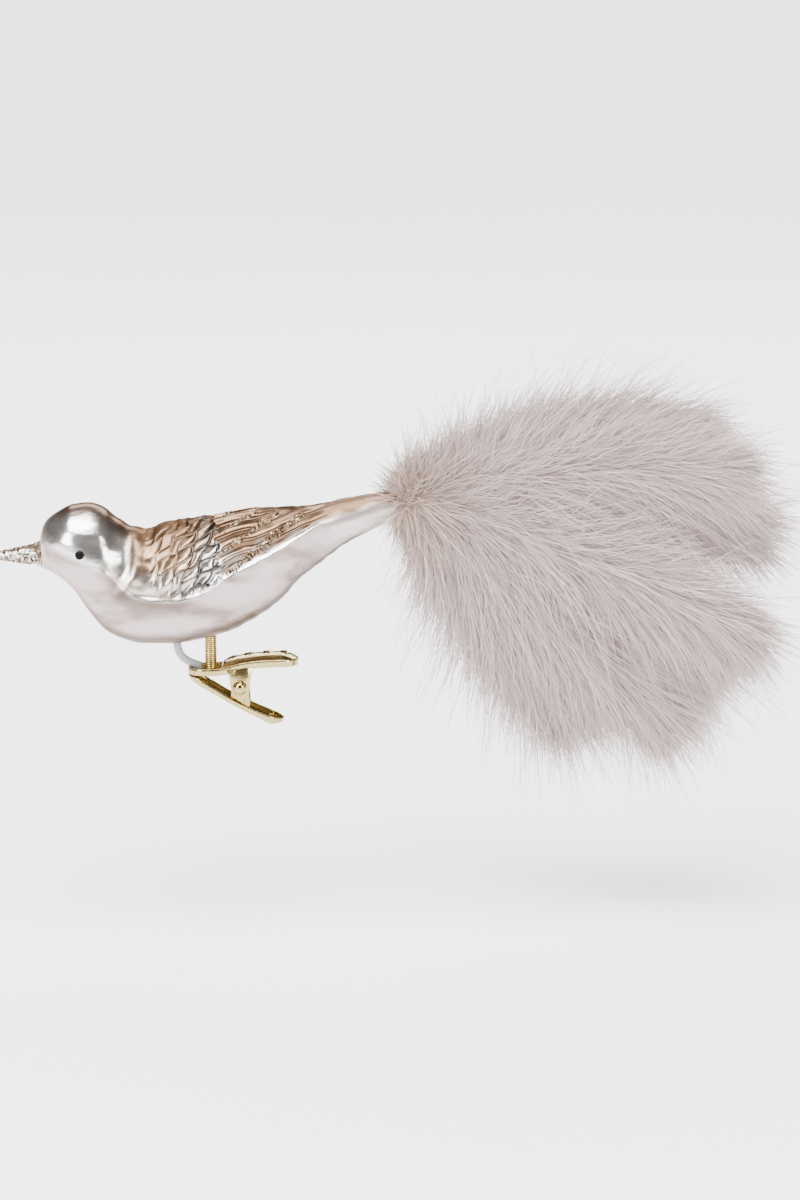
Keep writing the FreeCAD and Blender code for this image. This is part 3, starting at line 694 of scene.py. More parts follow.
def row_places():
    """Places of the mesh's rows along X, closest on the feathers and the steep brow."""
    x = np.linspace(BEAK_TIP_X, MOUTH_X, 6000)
    rise = np.hypot(np.gradient(top_at(x), x), np.gradient(low_at(x), x))
    steep = np.sqrt(1 + np.clip(rise, 0, 3) ** 2)
    density = np.interp(x, *zip(*ROW_DENSITY)) * np.where(x < -35, steep, 1)
    grown = np.cumsum(density) * (x[1] - x[0])
    return np.interp(np.linspace(grown[0], grown[-1], round(grown[-1])), grown, x)


def relief_surface(x, columns):
    """The finished outer surface with its masks."""
    points, girth = ring_at(x, columns)
    relief, gap, wing, small, long, drop = feather_marks(points, girth)
    soft, crease = body_relief(points)
    outer = points + surface_normals(points) * (relief + soft)[..., None]
    return outer, points, gap, wing, small, long, drop, crease


def paint_masks(plain, gap, wing, small, long, drop, crease):
    """How much of each paint lies on the glass, painted shade and painted reflection among them, in the
    order of PAINTS.
    """
    px, pz = plain[..., 0], plain[..., 2]
    half = (top_at(px) - low_at(px)) / 2
    level = (pz - (top_at(px) + low_at(px)) / 2) / half
    on_body = smooth_step(-21, -15, px)
    crown = smooth_step(0.68, 0.96, level) * smooth_step(-38, -33, px) * smooth_step(-16, -20, px)
    back = smooth_step(0.35, 0.85, level + 0.10 * np.sin(px * 0.7)) * on_body
    tail = smooth_step(0.10, 0.60, level) * smooth_step(24, 33, px)
    feathers = long * smooth_step(14.5, 3.0, drop) + 0.75 * long
    bronze = 0.85 * crown + 0.90 * back + 0.50 * tail + 0.85 * np.clip(feathers, 0, 1)
    silvery = small * smooth_step(-6, 3, px) * smooth_step(0.8, 0.3, level)
    bronze = np.clip(bronze, 0, 1) * (1 - 0.75 * silvery)
    shoulder = smooth_step(-19, -14.5, px) * smooth_step(5, -4, px) * smooth_step(23, 30, pz)
    gold = np.clip(0.9 * shoulder * (1 - 0.5 * silvery), 0, 1)
    cream = 0.8 * wing * smooth_step(4.5, 0.5, drop) * smooth_step(4, -6, px)
    cream = np.clip(cream + 0.4 * tail, 0, 1)
    throat = smooth_step(0.6, -1.6, pz - 31.2 + 0.42 * (px + 29.6)) * smooth_step(-40, -37, px)
    below_wing = smooth_step(0.3, -1.2, drop) * smooth_step(34, 24, px)
    pearl = throat + (below_wing - throat) * smooth_step(-22, -14, px)
    pearl = np.clip(pearl + 0.55 * smooth_step(24, 33, px), 0, 1)
    # Painted dark reflection: a dark band along the underside of the breast and the rear belly, where the
    # glass reflects dark surroundings.
    keel_reflection = smooth_step(-0.66, -0.88, level)
    shade_and_dark_reflection = 0.95 * keel_reflection * smooth_step(0, 12, px) * smooth_step(46, 38, px)
    shade_and_dark_reflection += 0.75 * keel_reflection * smooth_step(-36, -26, px) * smooth_step(4, -6, px)
    # Painted shadow in a band under the front edge of the wing.
    shade = smooth_step(0.2, -0.6, drop) * smooth_step(-5.5, -0.8, drop)
    shade_and_dark_reflection += 0.58 * shade * smooth_step(-24, -18, px) * smooth_step(4, -6, px)
    # Painted shade along the neck crease joins the painted shade of the grooves.
    gap = np.clip(gap + 0.25 * crease, 0, 1)
    return bronze, gap, pearl, gold, cream, np.clip(shade_and_dark_reflection, 0, 1)


def make_glass():
    """The blown bird as one closed skin with a rim and the first stretch of the tube's inside."""
    x = row_places()
    outer, plain, *marks = relief_surface(x, GLASS_COLUMNS)
    inner_x = np.array([MOUTH_X, MOUTH_X - 2, MOUTH_X - 5])
    inner, _ = ring_at(inner_x, GLASS_COLUMNS)
    middle = inner.mean(axis=1, keepdims=True)
    away = inner - middle
    inner = middle + away * (1 - GLASS_WALL / np.linalg.norm(away, axis=2))[..., None]
    rows = np.concatenate([outer, inner])
    points = rows.reshape(-1, 3)
    points = np.vstack([points, [[BEAK_TIP_X - 0.25, 0, BEAK_LINE]], [rows[-1].mean(axis=0)]])
    count = len(rows)
    faces = grid_faces(count, GLASS_COLUMNS)
    faces += cap_faces(0, GLASS_COLUMNS, count * GLASS_COLUMNS, True)
    faces += cap_faces((count - 1) * GLASS_COLUMNS, GLASS_COLUMNS, count * GLASS_COLUMNS + 1, False)
    piece = new_piece("bird_glass", points, faces, GLASS)
    blank = np.zeros((len(inner), GLASS_COLUMNS))
    for name, mask in zip(PAINTS, paint_masks(plain, *marks)):
        values = np.concatenate([mask, blank]).ravel()
        store(piece, name, np.append(values, (0, 0)))
    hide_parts("glass_body")
    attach(piece, "bird")
    return outer, x


glass_surface, glass_places = make_glass()


def skin_point(x, z, side):
    """Point of the glass surface nearest to a place seen from the side, and its normal."""
    normals = surface_normals(glass_surface)
    half = GLASS_COLUMNS // 2
    columns = slice(1, half) if side > 0 else slice(half + 1, GLASS_COLUMNS)
    patch = glass_surface[:, columns]
    miss = (patch[..., 0] - x) ** 2 + (patch[..., 2] - z) ** 2
    row, column = np.unravel_index(np.argmin(miss), miss.shape)
    return patch[row, column], normals[:, columns][row, column]


def turned_to(points, centre, normal):
    """Points about X turned so that X lies along a normal, moved to a centre."""
    turn = Vector((1, 0, 0)).rotation_difference(Vector(normal)).to_matrix()
    return np.asarray(points) @ np.array(turn).T + centre


EYE_PLACE = (-29.1, 32.4)
EYE_RADIUS = 1.12


def make_eyes():
    """Two drops of black enamel, domed and bedded in the glass."""
    profile = [(-0.35, EYE_RADIUS), (0.02, EYE_RADIUS)]
    for step in range(1, 9):
        angle = step / 9 * math.pi / 2
        profile.append((0.02 + 0.42 * math.sin(angle), EYE_RADIUS * math.cos(angle)))
    for side, node in ((-1, "left_eye"), (1, "right_eye")):
        centre, normal = skin_point(*EYE_PLACE, side)
        points, faces = lathe(profile, 40)
        piece = new_piece(node + "_enamel", turned_to(points, centre, normal), faces, ENAMEL)
        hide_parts(node)
        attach(piece, "bird")


make_eyes()


# ---------------------------------------------------------------- glitter

def flake_group():
    """Glitter: flat six-sided grains scattered over a surface."""
    group, tree, read, finish = new_growth("glitter_grains", {
        "Density": "Float", "Grain Size": "Float", "Seed": "Int", "Material": "Material"})
    scatter = tree.make("GeometryNodeDistributePointsOnFaces", {"distribute_method": "RANDOM"},
                        {"Mesh": read("Geometry"), "Density": read("Density"), "Seed": read("Seed")})
    toned = keep_value(tree, scatter, "tone", random_number(tree, 0.0, 1.0, 5) ** 1.3)
    grain = tree.make("GeometryNodeMeshCylinder", {"fill_type": "TRIANGLE_FAN"},
                      {"Vertices": 6, "Radius": 0.5, "Depth": 0.35})
    turn = tree.make("FunctionNodeEulerToRotation", None, {0: random_vector(tree, 3.14, 3)})
    size = read("Grain Size") * random_number(tree, 0.55, 1.25, 9)
    grains = tree.make("GeometryNodeInstanceOnPoints", None,
                       {"Points": toned, "Instance": grain, "Rotation": turn, "Scale": size})
    finish(grains)
    return group


FLAKES = flake_group()


def make_glitter(name, node, points, faces, density, size, seed):
    """A coat of grains over a patch of surface."""
    patch = new_piece(name + "_patch", points, faces, GLITTER)
    piece = grow(name, patch, FLAKES, {"Density": density, "Grain Size": size * MM, "Seed": seed,
                                       "Material": GLITTER})
    for polygon in piece.data.polygons:
        polygon.use_smooth = False
    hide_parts(node)
    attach(piece, "bird")


# Grains to the square metre and the widest grain, on the beak and in the streaks.
BEAK_GRAINS = (1.2e7, 0.46)
STREAK_GRAINS = (0.8e7, 0.56)
BEAK_COAT_END = -38.9
STREAK_STEPS = 40
STREAK_SAMPLES = 6

# Streaks along the long feathers: start and end seen from the side, and width.
STREAKS = [((6.0, 40.0), (11.4, 41.9), 0.8), ((6.2, 37.4), (15.0, 41.7), 1.0),
           ((5.8, 32.6), (19.8, 41.6), 1.5), ((7.2, 27.3), (26.0, 41.4), 2.0)]


def make_beak_glitter():
    """Coat of grains from the beak's tip to the brow, open over the brow and under the chin."""
    rows = glass_places < BEAK_COAT_END
    band = glass_surface[rows] + surface_normals(glass_surface)[rows] * 0.05
    points = band.reshape(-1, 3)
    faces = []
    for face in grid_faces(len(band), GLASS_COLUMNS):
        x, _, z = points[face[0]]
        chin = x > -42.0 and z < 28.6
        brow = x >= -40.3 and z >= 33.4
        if not chin and not brow:
            faces.append(face)
    make_glitter("beak_glitter_grains", "beak_glitter", points, faces, *BEAK_GRAINS, 11)


def make_wing_glitter(side, node):
    """Streaks of grains on one wing."""
    parts = []
    for start, end, width in STREAKS:
        strip = []
        for share in np.linspace(0, 1, STREAK_STEPS):
            x = start[0] + (end[0] - start[0]) * share
            z = start[1] + (end[1] - start[1]) * share + 0.5 * math.sin(share * math.pi)
            fat = width * math.sin(math.pi * (0.12 + 0.80 * share)) ** 0.6
            for across in np.linspace(-0.5, 0.5, STREAK_SAMPLES):
                point, normal = skin_point(x - across * fat * 0.6, z + across * fat * 0.8, side)
                strip.append(point + normal * 0.08)
        faces = grid_faces(STREAK_STEPS, STREAK_SAMPLES, closed=False)
        if side < 0:
            faces = [tuple(reversed(face)) for face in faces]
        parts.append((strip, faces))
    points, faces = join_parts(parts)
    make_glitter(node + "_grains", node, points, faces, *STREAK_GRAINS, 21 + side)


make_beak_glitter()
make_wing_glitter(-1, "left_wing_glitter")
make_wing_glitter(1, "right_wing_glitter")


# ---------------------------------------------------------------- springs

def coil_group():
    """Round wire wound about Z from the origin upwards."""
    group, tree, read, finish = new_growth("wire_coil", {
        "Turns": "Float", "Coil Radius": "Float", "Height": "Float", "Wire Radius": "Float",
        "Material": "Material"})
    path = tree.make("GeometryNodeCurveSpiral", None, {
        "Resolution": 28, "Rotations": read("Turns"), "Start Radius": read("Coil Radius"),
        "End Radius": read("Coil Radius"), "Height": read("Height")})
    ring = tree.make("GeometryNodeCurvePrimitiveCircle", {"mode": "RADIUS"},
                     {"Resolution": 10, "Radius": read("Wire Radius")})
    wire = tree.make("GeometryNodeCurveToMesh", None,
                     {"Curve": path, "Profile Curve": ring, "Fill Caps": True})
    smooth = tree.make("GeometryNodeSetShadeSmooth", None, {"Geometry": wire})
    finish(smooth)
    return group


COIL = coil_group()


def make_coil(name, turns, radius, height, wire, matrix, material):
    """A wound wire placed by a matrix in millimetres."""
    base = new_piece(name + "_base", [(0, 0, 0), (1, 0, 0), (0, 1, 0)], [(0, 1, 2)], material)
    piece = grow(name, base, COIL, {"Turns": turns, "Coil Radius": radius * MM, "Height": height * MM,
                                    "Wire Radius": wire * MM, "Material": material})
    matrix = matrix.copy()
    matrix.translation = matrix.translation * MM
    piece.data.transform(matrix)
    return piece


LEG_WIRE = 0.25
LEG_PITCH = 0.5
LEG_SPLIT = (PITCH_Z + ROLL_Z) / 2


def make_leg():
    """The leg wire in two lengths, split halfway between the two joints."""
    foot = leg_low[2]
    for name, low, high, bodies, start, end in (
            ("leg_coil_low", foot, LEG_SPLIT, ("clip", "leg"), 0.8, LEG_SPLIT),
            ("leg_coil_high", LEG_SPLIT, leg_high[2], ("leg", "bird"), LEG_SPLIT, 2 * ROLL_Z - LEG_SPLIT)):
        turns = round((high - low) / LEG_PITCH * 2) / 2
        place = Matrix.Translation((LEG_X, 0, low))
        piece = make_coil(name, turns, LEG_RADIUS - LEG_WIRE, high - low, LEG_WIRE, place, WIRE)
        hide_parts("leg_spring")
        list(bodies)
        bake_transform(piece)


make_leg()


TORSION_RADIUS = 1.25
TORSION_WIRE = 0.24
TORSION_LENGTH = 4.8


def make_torsion_spring():
    """Coil about the pivot; its lower arm goes with the lower lever."""
    start = -TORSION_LENGTH / 2
    place = Matrix.Translation((PIVOT[0], start, PIVOT[2])) @ Matrix.Rotation(-math.pi / 2, 4, "X")
    turned = make_coil("torsion_coil", 8, TORSION_RADIUS, TORSION_LENGTH, TORSION_WIRE, place,
                       SPRING_STEEL)
    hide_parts("torsion_spring")
    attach(turned, "clip")
    arm_x = PIVOT[0] + TORSION_RADIUS
    arm_ends = {"upper": ("clip", start, node_box("torsion_spring")[1][2]),
                "lower": ("clip_lever", -start, node_box("torsion_spring")[0][2])}
    for name, (body, side, end) in arm_ends.items():
        path = [(arm_x, side, PIVOT[2] + (end - PIVOT[2]) * step / 6) for step in range(7)]
        points, faces = tube(path, TORSION_WIRE, 12)
        piece = new_piece(f"torsion_arm_{name}", points, faces, SPRING_STEEL)
        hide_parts("torsion_spring")
        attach(piece, body)


make_torsion_spring()


TIE_ROUTE = [(0.2, 1.0, 1.55), (-2.0, 1.0, 2.3), (-4.4, 1.0, 3.6), (-5.7, 1.0, 5.6),
             (-6.05, 1.0, 8.6)]
TIE_RADIUS = 1.0


def make_tie():
    """Milky soft tie from the jaw to the belly."""
    curve = bpy.data.curves.new("tie_route", "CURVE")
    curve.dimensions = "3D"
    curve.resolution_u = 12
    spline = curve.splines.new("NURBS")
    spline.points.add(len(TIE_ROUTE) - 1)
    for point, place in zip(spline.points, TIE_ROUTE):
        point.co = (*place, 1)
    spline.order_u = 3
    spline.use_endpoint_u = True
    plain = settle("tie_line", new_object("tie_route", curve))
    path = np.array([vertex.co for vertex in plain.data.vertices])
    bpy.data.objects.remove(plain)
    points, faces = tube(path, TIE_RADIUS, 28)
    piece = new_piece("soft_tie_tube", points, faces, PLASTIC)
    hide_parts("soft_tie")
    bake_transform(piece)


make_tie()


# ---------------------------------------------------------------- clip

SHEET = 0.5
CLIP_HALF = (node_box("upper_lever")[1][1] - node_box("upper_lever")[0][1]) / 2


def capsule_ring(start, end, half, inset):
    """Points round a slot outline drawn in by an inset."""
    reach = max(half - inset, 0.0)
    front = start + half
    back = end - half
    turn = np.linspace(-math.pi / 2, math.pi / 2, 49)
    run = np.linspace(0, 1, 74)[1:-1]
    rear_cap = np.column_stack([back + reach * np.cos(turn), reach * np.sin(turn)])
    left = np.column_stack([back + (front - back) * run, np.full(len(run), reach)])
    nose_cap = np.column_stack([front - reach * np.cos(turn), -reach * np.sin(turn)])
    right = np.column_stack([front + (back - front) * run, np.full(len(run), -reach)])
    return np.vstack([rear_cap, left, nose_cap, right])


def press_sheet(name, start, end, rows, height):
    """A sheet pressed to a slot outline: rows of (inset, row number) with a height rule."""
    half = CLIP_HALF - SHEET / 2
    rings = []
    for number, inset in enumerate(rows):
        ring = capsule_ring(start + SHEET / 2, end - SHEET / 2, half, inset)
        rings.append(np.column_stack([ring, height(ring[:, 0], inset, number)]))
    points = np.vstack(rings)
    piece = new_piece(name, points, grid_faces(len(rings), len(rings[0])), PLATE)
    work = bmesh.new()
    work.from_mesh(piece.data)
    bmesh.ops.remove_doubles(work, verts=work.verts, dist=0.02 * MM)
    bmesh.ops.recalc_face_normals(work, faces=work.faces)
    work.to_mesh(piece.data)
    work.free()
    thick = piece.modifiers.new("sheet", "SOLIDIFY")
    thick.thickness = SHEET * MM
    thick.offset = 0
    soft = piece.modifiers.new("rounding", "SUBSURF")
    soft.levels = 1
    soft.render_levels = 1
    return settle(name, piece)


def plate(outline, near, far, bevel):
    """A flat plate seen from the side as an outline, between two places along Y."""
    count = len(outline)
    outline = np.asarray(outline)
    centre = outline.mean(axis=0)
    rings = []
    for inset, y in ((bevel, near), (0, near + bevel), (0, far - bevel), (bevel, far)):
        away = outline - centre
        size = np.linalg.norm(away, axis=1)[:, None]
        ring = centre + away * (1 - inset / size)
        rings.append(np.column_stack([ring[:, 0], np.full(count, y), ring[:, 1]]))
    points = np.vstack(rings + [[[centre[0], near, centre[1]], [centre[0], far, centre[1]]]])
    faces = grid_faces(4, count)
    faces += cap_faces(0, count, 4 * count, True)
    faces += cap_faces(3 * count, count, 4 * count + 1, False)
    return points, faces


def merge_pieces(name, pieces):
    """Several plain pieces as one, every shell facing outwards."""
    work = bmesh.new()
    for piece in pieces:
        work.from_mesh(piece.data)
        bpy.data.objects.remove(piece)
    bmesh.ops.recalc_face_normals(work, faces=work.faces)
    mesh = bpy.data.meshes.new(name)
    work.to_mesh(mesh)
    work.free()
    mesh.materials.append(PLATE)
    mesh.polygons.foreach_set("use_smooth", [True] * len(mesh.polygons))
    return new_object(name, mesh)


# Upper lever from the nose of the jaw to the thumb end.
UPPER_START, UPPER_END = -3.2, 24.6
UPPER_EDGE = smooth_curve((-3.2, 5.2, 10.0, 15.0, 20.0, 24.6), (0.0, 0.25, 1.45, 2.15, 2.4, 2.3))
FLANGE = smooth_curve((-3.2, 5.0, 8.0, 24.6), (1.5, 1.55, 1.7, 1.6))
CROWN = 1.25
DISH_FLOOR = 0.25
STAR_PLACES = (7.9, 12.1, 16.8, 21.2)
STAR_RADIUS = 1.6
STAR_RISE = 0.35
TOOTH_DEPTH = 0.14
TOOTH_SPACING = 1.1
EAR_BEVEL = 0.1
LOWER_EAR_REACH = 3.9


def teeth(x, number):
    """Small teeth on a jaw's lip, on the sheet's first row only."""
    if number:
        return 0
    return TOOTH_DEPTH * np.abs((x / TOOTH_SPACING) % 1 - 0.5) * 2 * smooth_step(4.0, 2.0, x)


def ear_plates(outline, reach):
    """Two ears whose outer faces are a reach either side of the middle."""
    pieces = []
    for near in (-reach, reach - SHEET):
        points, faces = plate(outline, near, near + SHEET, EAR_BEVEL)
        pieces.append(new_piece("ear_plate", points, faces, PLATE))
    return pieces


def upper_height(x, inset, number):
    """Height of the upper pressing: flange, then dish in the jaw and crown on the handle."""
    low = UPPER_EDGE(x)
    rim = low + FLANGE(x)
    if number < 5:
        return low + teeth(x, number) + (rim - low) * number / 4
    share = inset / (CLIP_HALF - SHEET / 2)
    crown = rim + CROWN * (1 - (1 - share) ** 2)
    dish = rim + (DISH_FLOOR - rim) * smooth_step(0.35, 1.3, inset)
    return dish + (crown - dish) * smooth_step(4.3, 6.3, x)


def star_group():
    """Raised five-pointed stars on the crown of the handle."""
    group, tree, read, finish = new_growth("raised_stars", {
        "Star Radius": "Float", "Rise": "Float", "Material": "Material"})
    outline = tree.make("GeometryNodeCurveStar", None, {
        "Points": 5, "Outer Radius": read("Star Radius"), "Inner Radius": read("Star Radius") * 0.45})
    flat = tree.make("GeometryNodeFillCurve", {"mode": "NGONS"}, {"Curve": outline})
    raised = tree.make("GeometryNodeExtrudeMesh", None,
                       {"Mesh": flat, "Offset Scale": read("Rise")}).socket.node
    top = tree.make("GeometryNodeScaleElements", None,
                    {"Geometry": Socket(tree, raised.outputs["Mesh"]),
                     "Selection": Socket(tree, raised.outputs["Top"]), "Scale": 0.72})
    under = tree.make("GeometryNodeFlipFaces", None, {"Mesh": flat})
    joined = tree.make("GeometryNodeJoinGeometry")
    for part in (top, under):
        group.links.new(part.socket, joined.socket.node.inputs[0])
    closed = tree.make("GeometryNodeMergeByDistance", None, {"Geometry": joined, "Distance": 0.00001})
    lean = tree.make("ShaderNodeCombineXYZ", None, {1: point_value(tree, "lean")})
    turn = tree.make("FunctionNodeEulerToRotation", None, {0: lean})
    stars = tree.make("GeometryNodeInstanceOnPoints", None,
                      {"Points": read("Geometry"), "Instance": closed, "Rotation": turn})
    finish(stars)
    return group


def make_upper_lever():
    """One pressing: dished jaw, crowned handle with stars, and the two ears."""
    rows = [0, 0, 0, 0, 0, 0.08, 0.3, 0.6, 0.95, 1.3, 1.7, 2.3, 2.9, 3.5, 3.9, CLIP_HALF - SHEET / 2]
    sheet = press_sheet("upper_sheet", UPPER_START, UPPER_END, rows, upper_height)
    spots = []
    leans = []
    for place in STAR_PLACES:
        near, far = (UPPER_EDGE(place + step) + FLANGE(place + step) for step in (-0.5, 0.5))
        spots.append((place, 0, (near + far) / 2 + CROWN + SHEET / 2 - 0.12))
        leans.append(-math.atan(far - near))
    dots = new_piece("star_places", spots, [(0, 1, 2), (1, 2, 3)], PLATE)
    store(dots, "lean", leans)
    stars = grow("handle_stars", dots, star_group(),
                 {"Star Radius": STAR_RADIUS * MM, "Rise": STAR_RISE * MM, "Material": PLATE})
    low_x, low_z = PIVOT[0], PIVOT[2]
    turn = np.linspace(math.pi, 2 * math.pi, 25)
    outline = [(low_x + 2.35 * math.cos(a), low_z + 2.35 * math.sin(a)) for a in turn]
    outline += [(low_x + 2.6, low_z + 2.2), (low_x + 3.4, 2.6), (low_x - 3.4, 1.9),
                (low_x - 2.6, low_z + 2.2)]
    whole = merge_pieces("upper_lever_pressing", [sheet, *ear_plates(outline, CLIP_HALF)])
    for piece in (whole, stars):
        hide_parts("upper_lever")
        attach(piece, "clip")


LOWER_START, LOWER_END = -3.1, 20.9
LOWER_RIM = smooth_curve((-3.1, -1.6, 2.0, 6.5, 12.5, 18.0, 20.9),
                         (-0.05, -0.15, -2.2, -5.0, -8.1, -10.4, -11.3))
LOWER_FLOOR = smooth_curve((-3.1, 2.0, 8.0, 13.7, 18.6, 20.9),
                           (-0.75, -3.6, -7.1, -10.1, -12.2, -12.2))


def lower_height(x, inset, number):
    """Height of the lower pressing: a rolled wall, then the trough's floor."""
    rim = LOWER_RIM(x)
    floor = LOWER_FLOOR(x)
    if number < 5:
        return rim - teeth(x, number) + (floor - rim) * number / 5
    return floor + (rim - floor) * 0.2 * smooth_step(0.7, 0.0, inset)


def make_lower_lever():
    """Lower pressing: trough-shaped jaw and thumb plate with two inner ears."""
    rows = [0, 0, 0, 0.03, 0.1, 0.3, 0.55, 0.9, 1.4, 2.1, 2.8, 3.5, 3.9, CLIP_HALF - SHEET / 2]
    sheet = press_sheet("lower_sheet", LOWER_START, LOWER_END, rows, lower_height)
    low_x, low_z = PIVOT[0], PIVOT[2]
    turn = np.linspace(math.pi, 0, 25)
    outline = [(low_x + 2.1 * math.cos(a), low_z + 2.1 * math.sin(a)) for a in turn]
    outline += [(low_x + 2.5, -9.2), (low_x - 2.5, -6.9)]
    whole = merge_pieces("lower_lever_pressing", [sheet, *ear_plates(outline, LOWER_EAR_REACH)])
    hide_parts("lower_lever")
    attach(whole, "clip_lever")


make_upper_lever()
make_lower_lever()


RIVET_HEAD = 1.8
RIVET_SHANK = 0.8
# Half the distance between the flat insides of the two heads.
RIVET_GRIP = 4.5


def make_rivet():
    """Ball-headed rivet."""
    centre = rivet_high[1] - PIVOT[1] - RIVET_HEAD
    dome = []
    for angle in np.linspace(0, math.pi / 2, 14):
        radius = max(RIVET_HEAD * math.sin(angle), 0.02)
        dome.append((-centre - RIVET_HEAD * math.cos(angle), radius))
    rim = math.sqrt(RIVET_HEAD ** 2 - (centre - RIVET_GRIP) ** 2)
    half = [*dome, (-RIVET_GRIP, rim), (-RIVET_GRIP, RIVET_SHANK)]
    profile = half + [(-along, radius) for along, radius in reversed(half)]
    points, faces = lathe(profile, 48)
    turn = Matrix.Rotation(math.pi / 2, 3, "Z")
    points = points @ np.array(turn).T + PIVOT
    piece = new_piece("pivot_rivet_turned", points, faces, PLATE)
    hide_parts("pivot_rivet")
    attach(piece, "clip")


make_rivet()


# ---------------------------------------------------------------- plumes

# Layers of barbs: shortest and longest as a share of the barb length, share of the barb width,
# how far they open and their first seed.
COAT = (0.36, 1.0, 1.0, 1.12, 0.0)
LOOSE = (0.85, 1.42, 0.7, 1.32, 40.0)
TUFT = (0.25, 0.62, 1.0, 1.9, 80.0)


def down_group():
    """Barbs grown along a shaft: a dense coat and long loose strands, with the shaft itself."""
    group, tree, read, finish = new_growth("marabou_barbs", {
        "Side": "Vector", "Root": "Vector", "Coat Barbs": "Int", "Loose Barbs": "Int",
        "Tuft Barbs": "Int", "Barb Length": "Float", "Barb Width": "Float", "Spread": "Float",
        "Droop": "Float", "Depth": "Float", "Bare Share": "Float", "Tuft Share": "Float",
        "Shaft Radius": "Float", "Seed": "Int", "Material": "Material"})
    share = tree.make("GeometryNodeSplineParameter")

    def stretch(end):
        """The shaft from where its barbs begin to a share of its length."""
        part = tree.make("GeometryNodeTrimCurve", {"mode": "FACTOR"},
                         {0: read("Geometry"), 2: read("Bare Share"), 3: end})
        return keep_value(tree, part, "shaft_share", share)

    def layer(curve, count, low, high, width_share, opening, seed):
        """Barbs on a stretch of the shaft, as strips bent from their base to their tip."""
        cloud = tree.make("GeometryNodeCurveToPoints", {"mode": "COUNT"},
                          {"Curve": curve, "Count": read(count)}).socket.node
        points = Socket(tree, cloud.outputs["Points"])
        tangent = Socket(tree, cloud.outputs["Tangent"])
        along = point_value(tree, "shaft_share")
        shift = read("Seed")
        angle = random_number(tree, 0.0, 6.2832, shift + (seed + 1.0))
        open_share = random_number(tree, 0.45, 1.35, shift + (seed + 2.0))
        open_angle = read("Spread") * open_share * (opening - opening * 0.52 * along)
        upward = tree.arrow("CROSS_PRODUCT", tangent, read("Side"))
        sideways = read("Side") * (tree.number("SINE", angle) * read("Depth"))
        outward = upward * tree.number("COSINE", angle) + sideways
        way = tangent * tree.number("COSINE", open_angle) + outward * tree.number("SINE", open_angle)
        way = tree.arrow("NORMALIZE", way)
        hump = tree.number("SINE", 0.45 + 2.0 * along)
        reach = read("Barb Length") * random_number(tree, low, high, shift + (seed + 3.0))
        reach = reach * (0.35 + 0.65 * hump)
        curl = random_vector(tree, 1.0, shift + (seed + 4.0))
        tone = random_number(tree, 0.0, 1.0, shift + (seed + 5.0))
        points = keep_value(tree, points, "way", way, vector=True)
        points = keep_value(tree, points, "base", tree.make("GeometryNodeInputPosition"), vector=True)
        points = keep_value(tree, points, "curl", curl, vector=True)
        points = keep_value(tree, points, "reach", reach)
        points = keep_value(tree, points, "tone", tone)
        strip = tree.make("GeometryNodeMeshGrid", None,
                          {"Size X": 1.0, "Size Y": 1.0, "Vertices X": 7, "Vertices Y": 2})
        place = tree.make("GeometryNodeInputPosition")
        tip = tree.make("ShaderNodeSeparateXYZ", None, {0: place}, output=0) + 0.5
        edge = tree.make("ShaderNodeSeparateXYZ", None, {0: place}, output=1)
        strip = keep_value(tree, strip, "tip", tip)
        strip = keep_value(tree, strip, "edge", edge)
        barbs = tree.make("GeometryNodeInstanceOnPoints", None, {"Points": points, "Instance": strip})
        barbs = tree.make("GeometryNodeRealizeInstances", None, {0: barbs})
        tip = point_value(tree, "tip")
        edge = point_value(tree, "edge")
        reach = point_value(tree, "reach")
        way = point_value(tree, "way", True)
        curl = point_value(tree, "curl", True)
        wave = tree.number("SINE", 5.0 * tip)
        across = tree.arrow("NORMALIZE", tree.arrow("CROSS_PRODUCT", way, curl))
        slim = (1.02 - tip) * (0.35 + 1.2 * tip) + 0.24
        place = point_value(tree, "base", True) + way * (reach * tip)
        place = place + curl * (reach * (0.20 * tip * tip))
        place = place + across * (reach * (0.05 * wave))
        fall = read("Droop") * reach * tip * tip
        place = place + tree.make("ShaderNodeCombineXYZ", None, {2: 0.0 - fall})
        place = place + across * (edge * read("Barb Width") * width_share * slim)
        return tree.make("GeometryNodeSetPosition", None, {"Geometry": barbs, "Position": place})

    feathered = stretch(1.0)
    coat = layer(feathered, "Coat Barbs", *COAT)
    loose = layer(feathered, "Loose Barbs", *LOOSE)
    tuft = layer(stretch(read("Tuft Share")), "Tuft Barbs", *TUFT)
    ring = tree.make("GeometryNodeCurvePrimitiveCircle", {"mode": "RADIUS"}, {"Resolution": 8})
    taper = 1.0 - 0.85 * share
    rachis = tree.make("GeometryNodeCurveToMesh", None,
                       {"Curve": read("Geometry"), "Profile Curve": ring,
                        "Scale": read("Shaft Radius") * taper, "Fill Caps": True})
    rachis = keep_value(tree, rachis, "tone", 1.0 + 0.0 * share)
    joined = tree.make("GeometryNodeJoinGeometry")
    for part in (coat, loose, tuft, rachis):
        group.links.new(part.socket, joined.socket.node.inputs[0])
    gap = tree.make("ShaderNodeVectorMath", {"operation": "DISTANCE"},
                    {0: tree.make("GeometryNodeInputPosition"), 1: read("Root")}, output="Value")
    near = tree.step(gap, 0.030, 0.004)
    rooted = keep_value(tree, joined, "root", near)
    smooth = tree.make("GeometryNodeSetShadeSmooth", None, {"Geometry": rooted})
    finish(smooth)
    return group


DOWN_GROWTH = down_group()
DOWN_VALUES = {"Coat Barbs": 12400, "Loose Barbs": 1700, "Tuft Barbs": 1000, "Barb Length": 0.0245,
               "Barb Width": 0.00032, "Spread": 0.86, "Droop": 0.18, "Depth": 0.30,
               "Shaft Radius": 0.00042, "Material": DOWN}

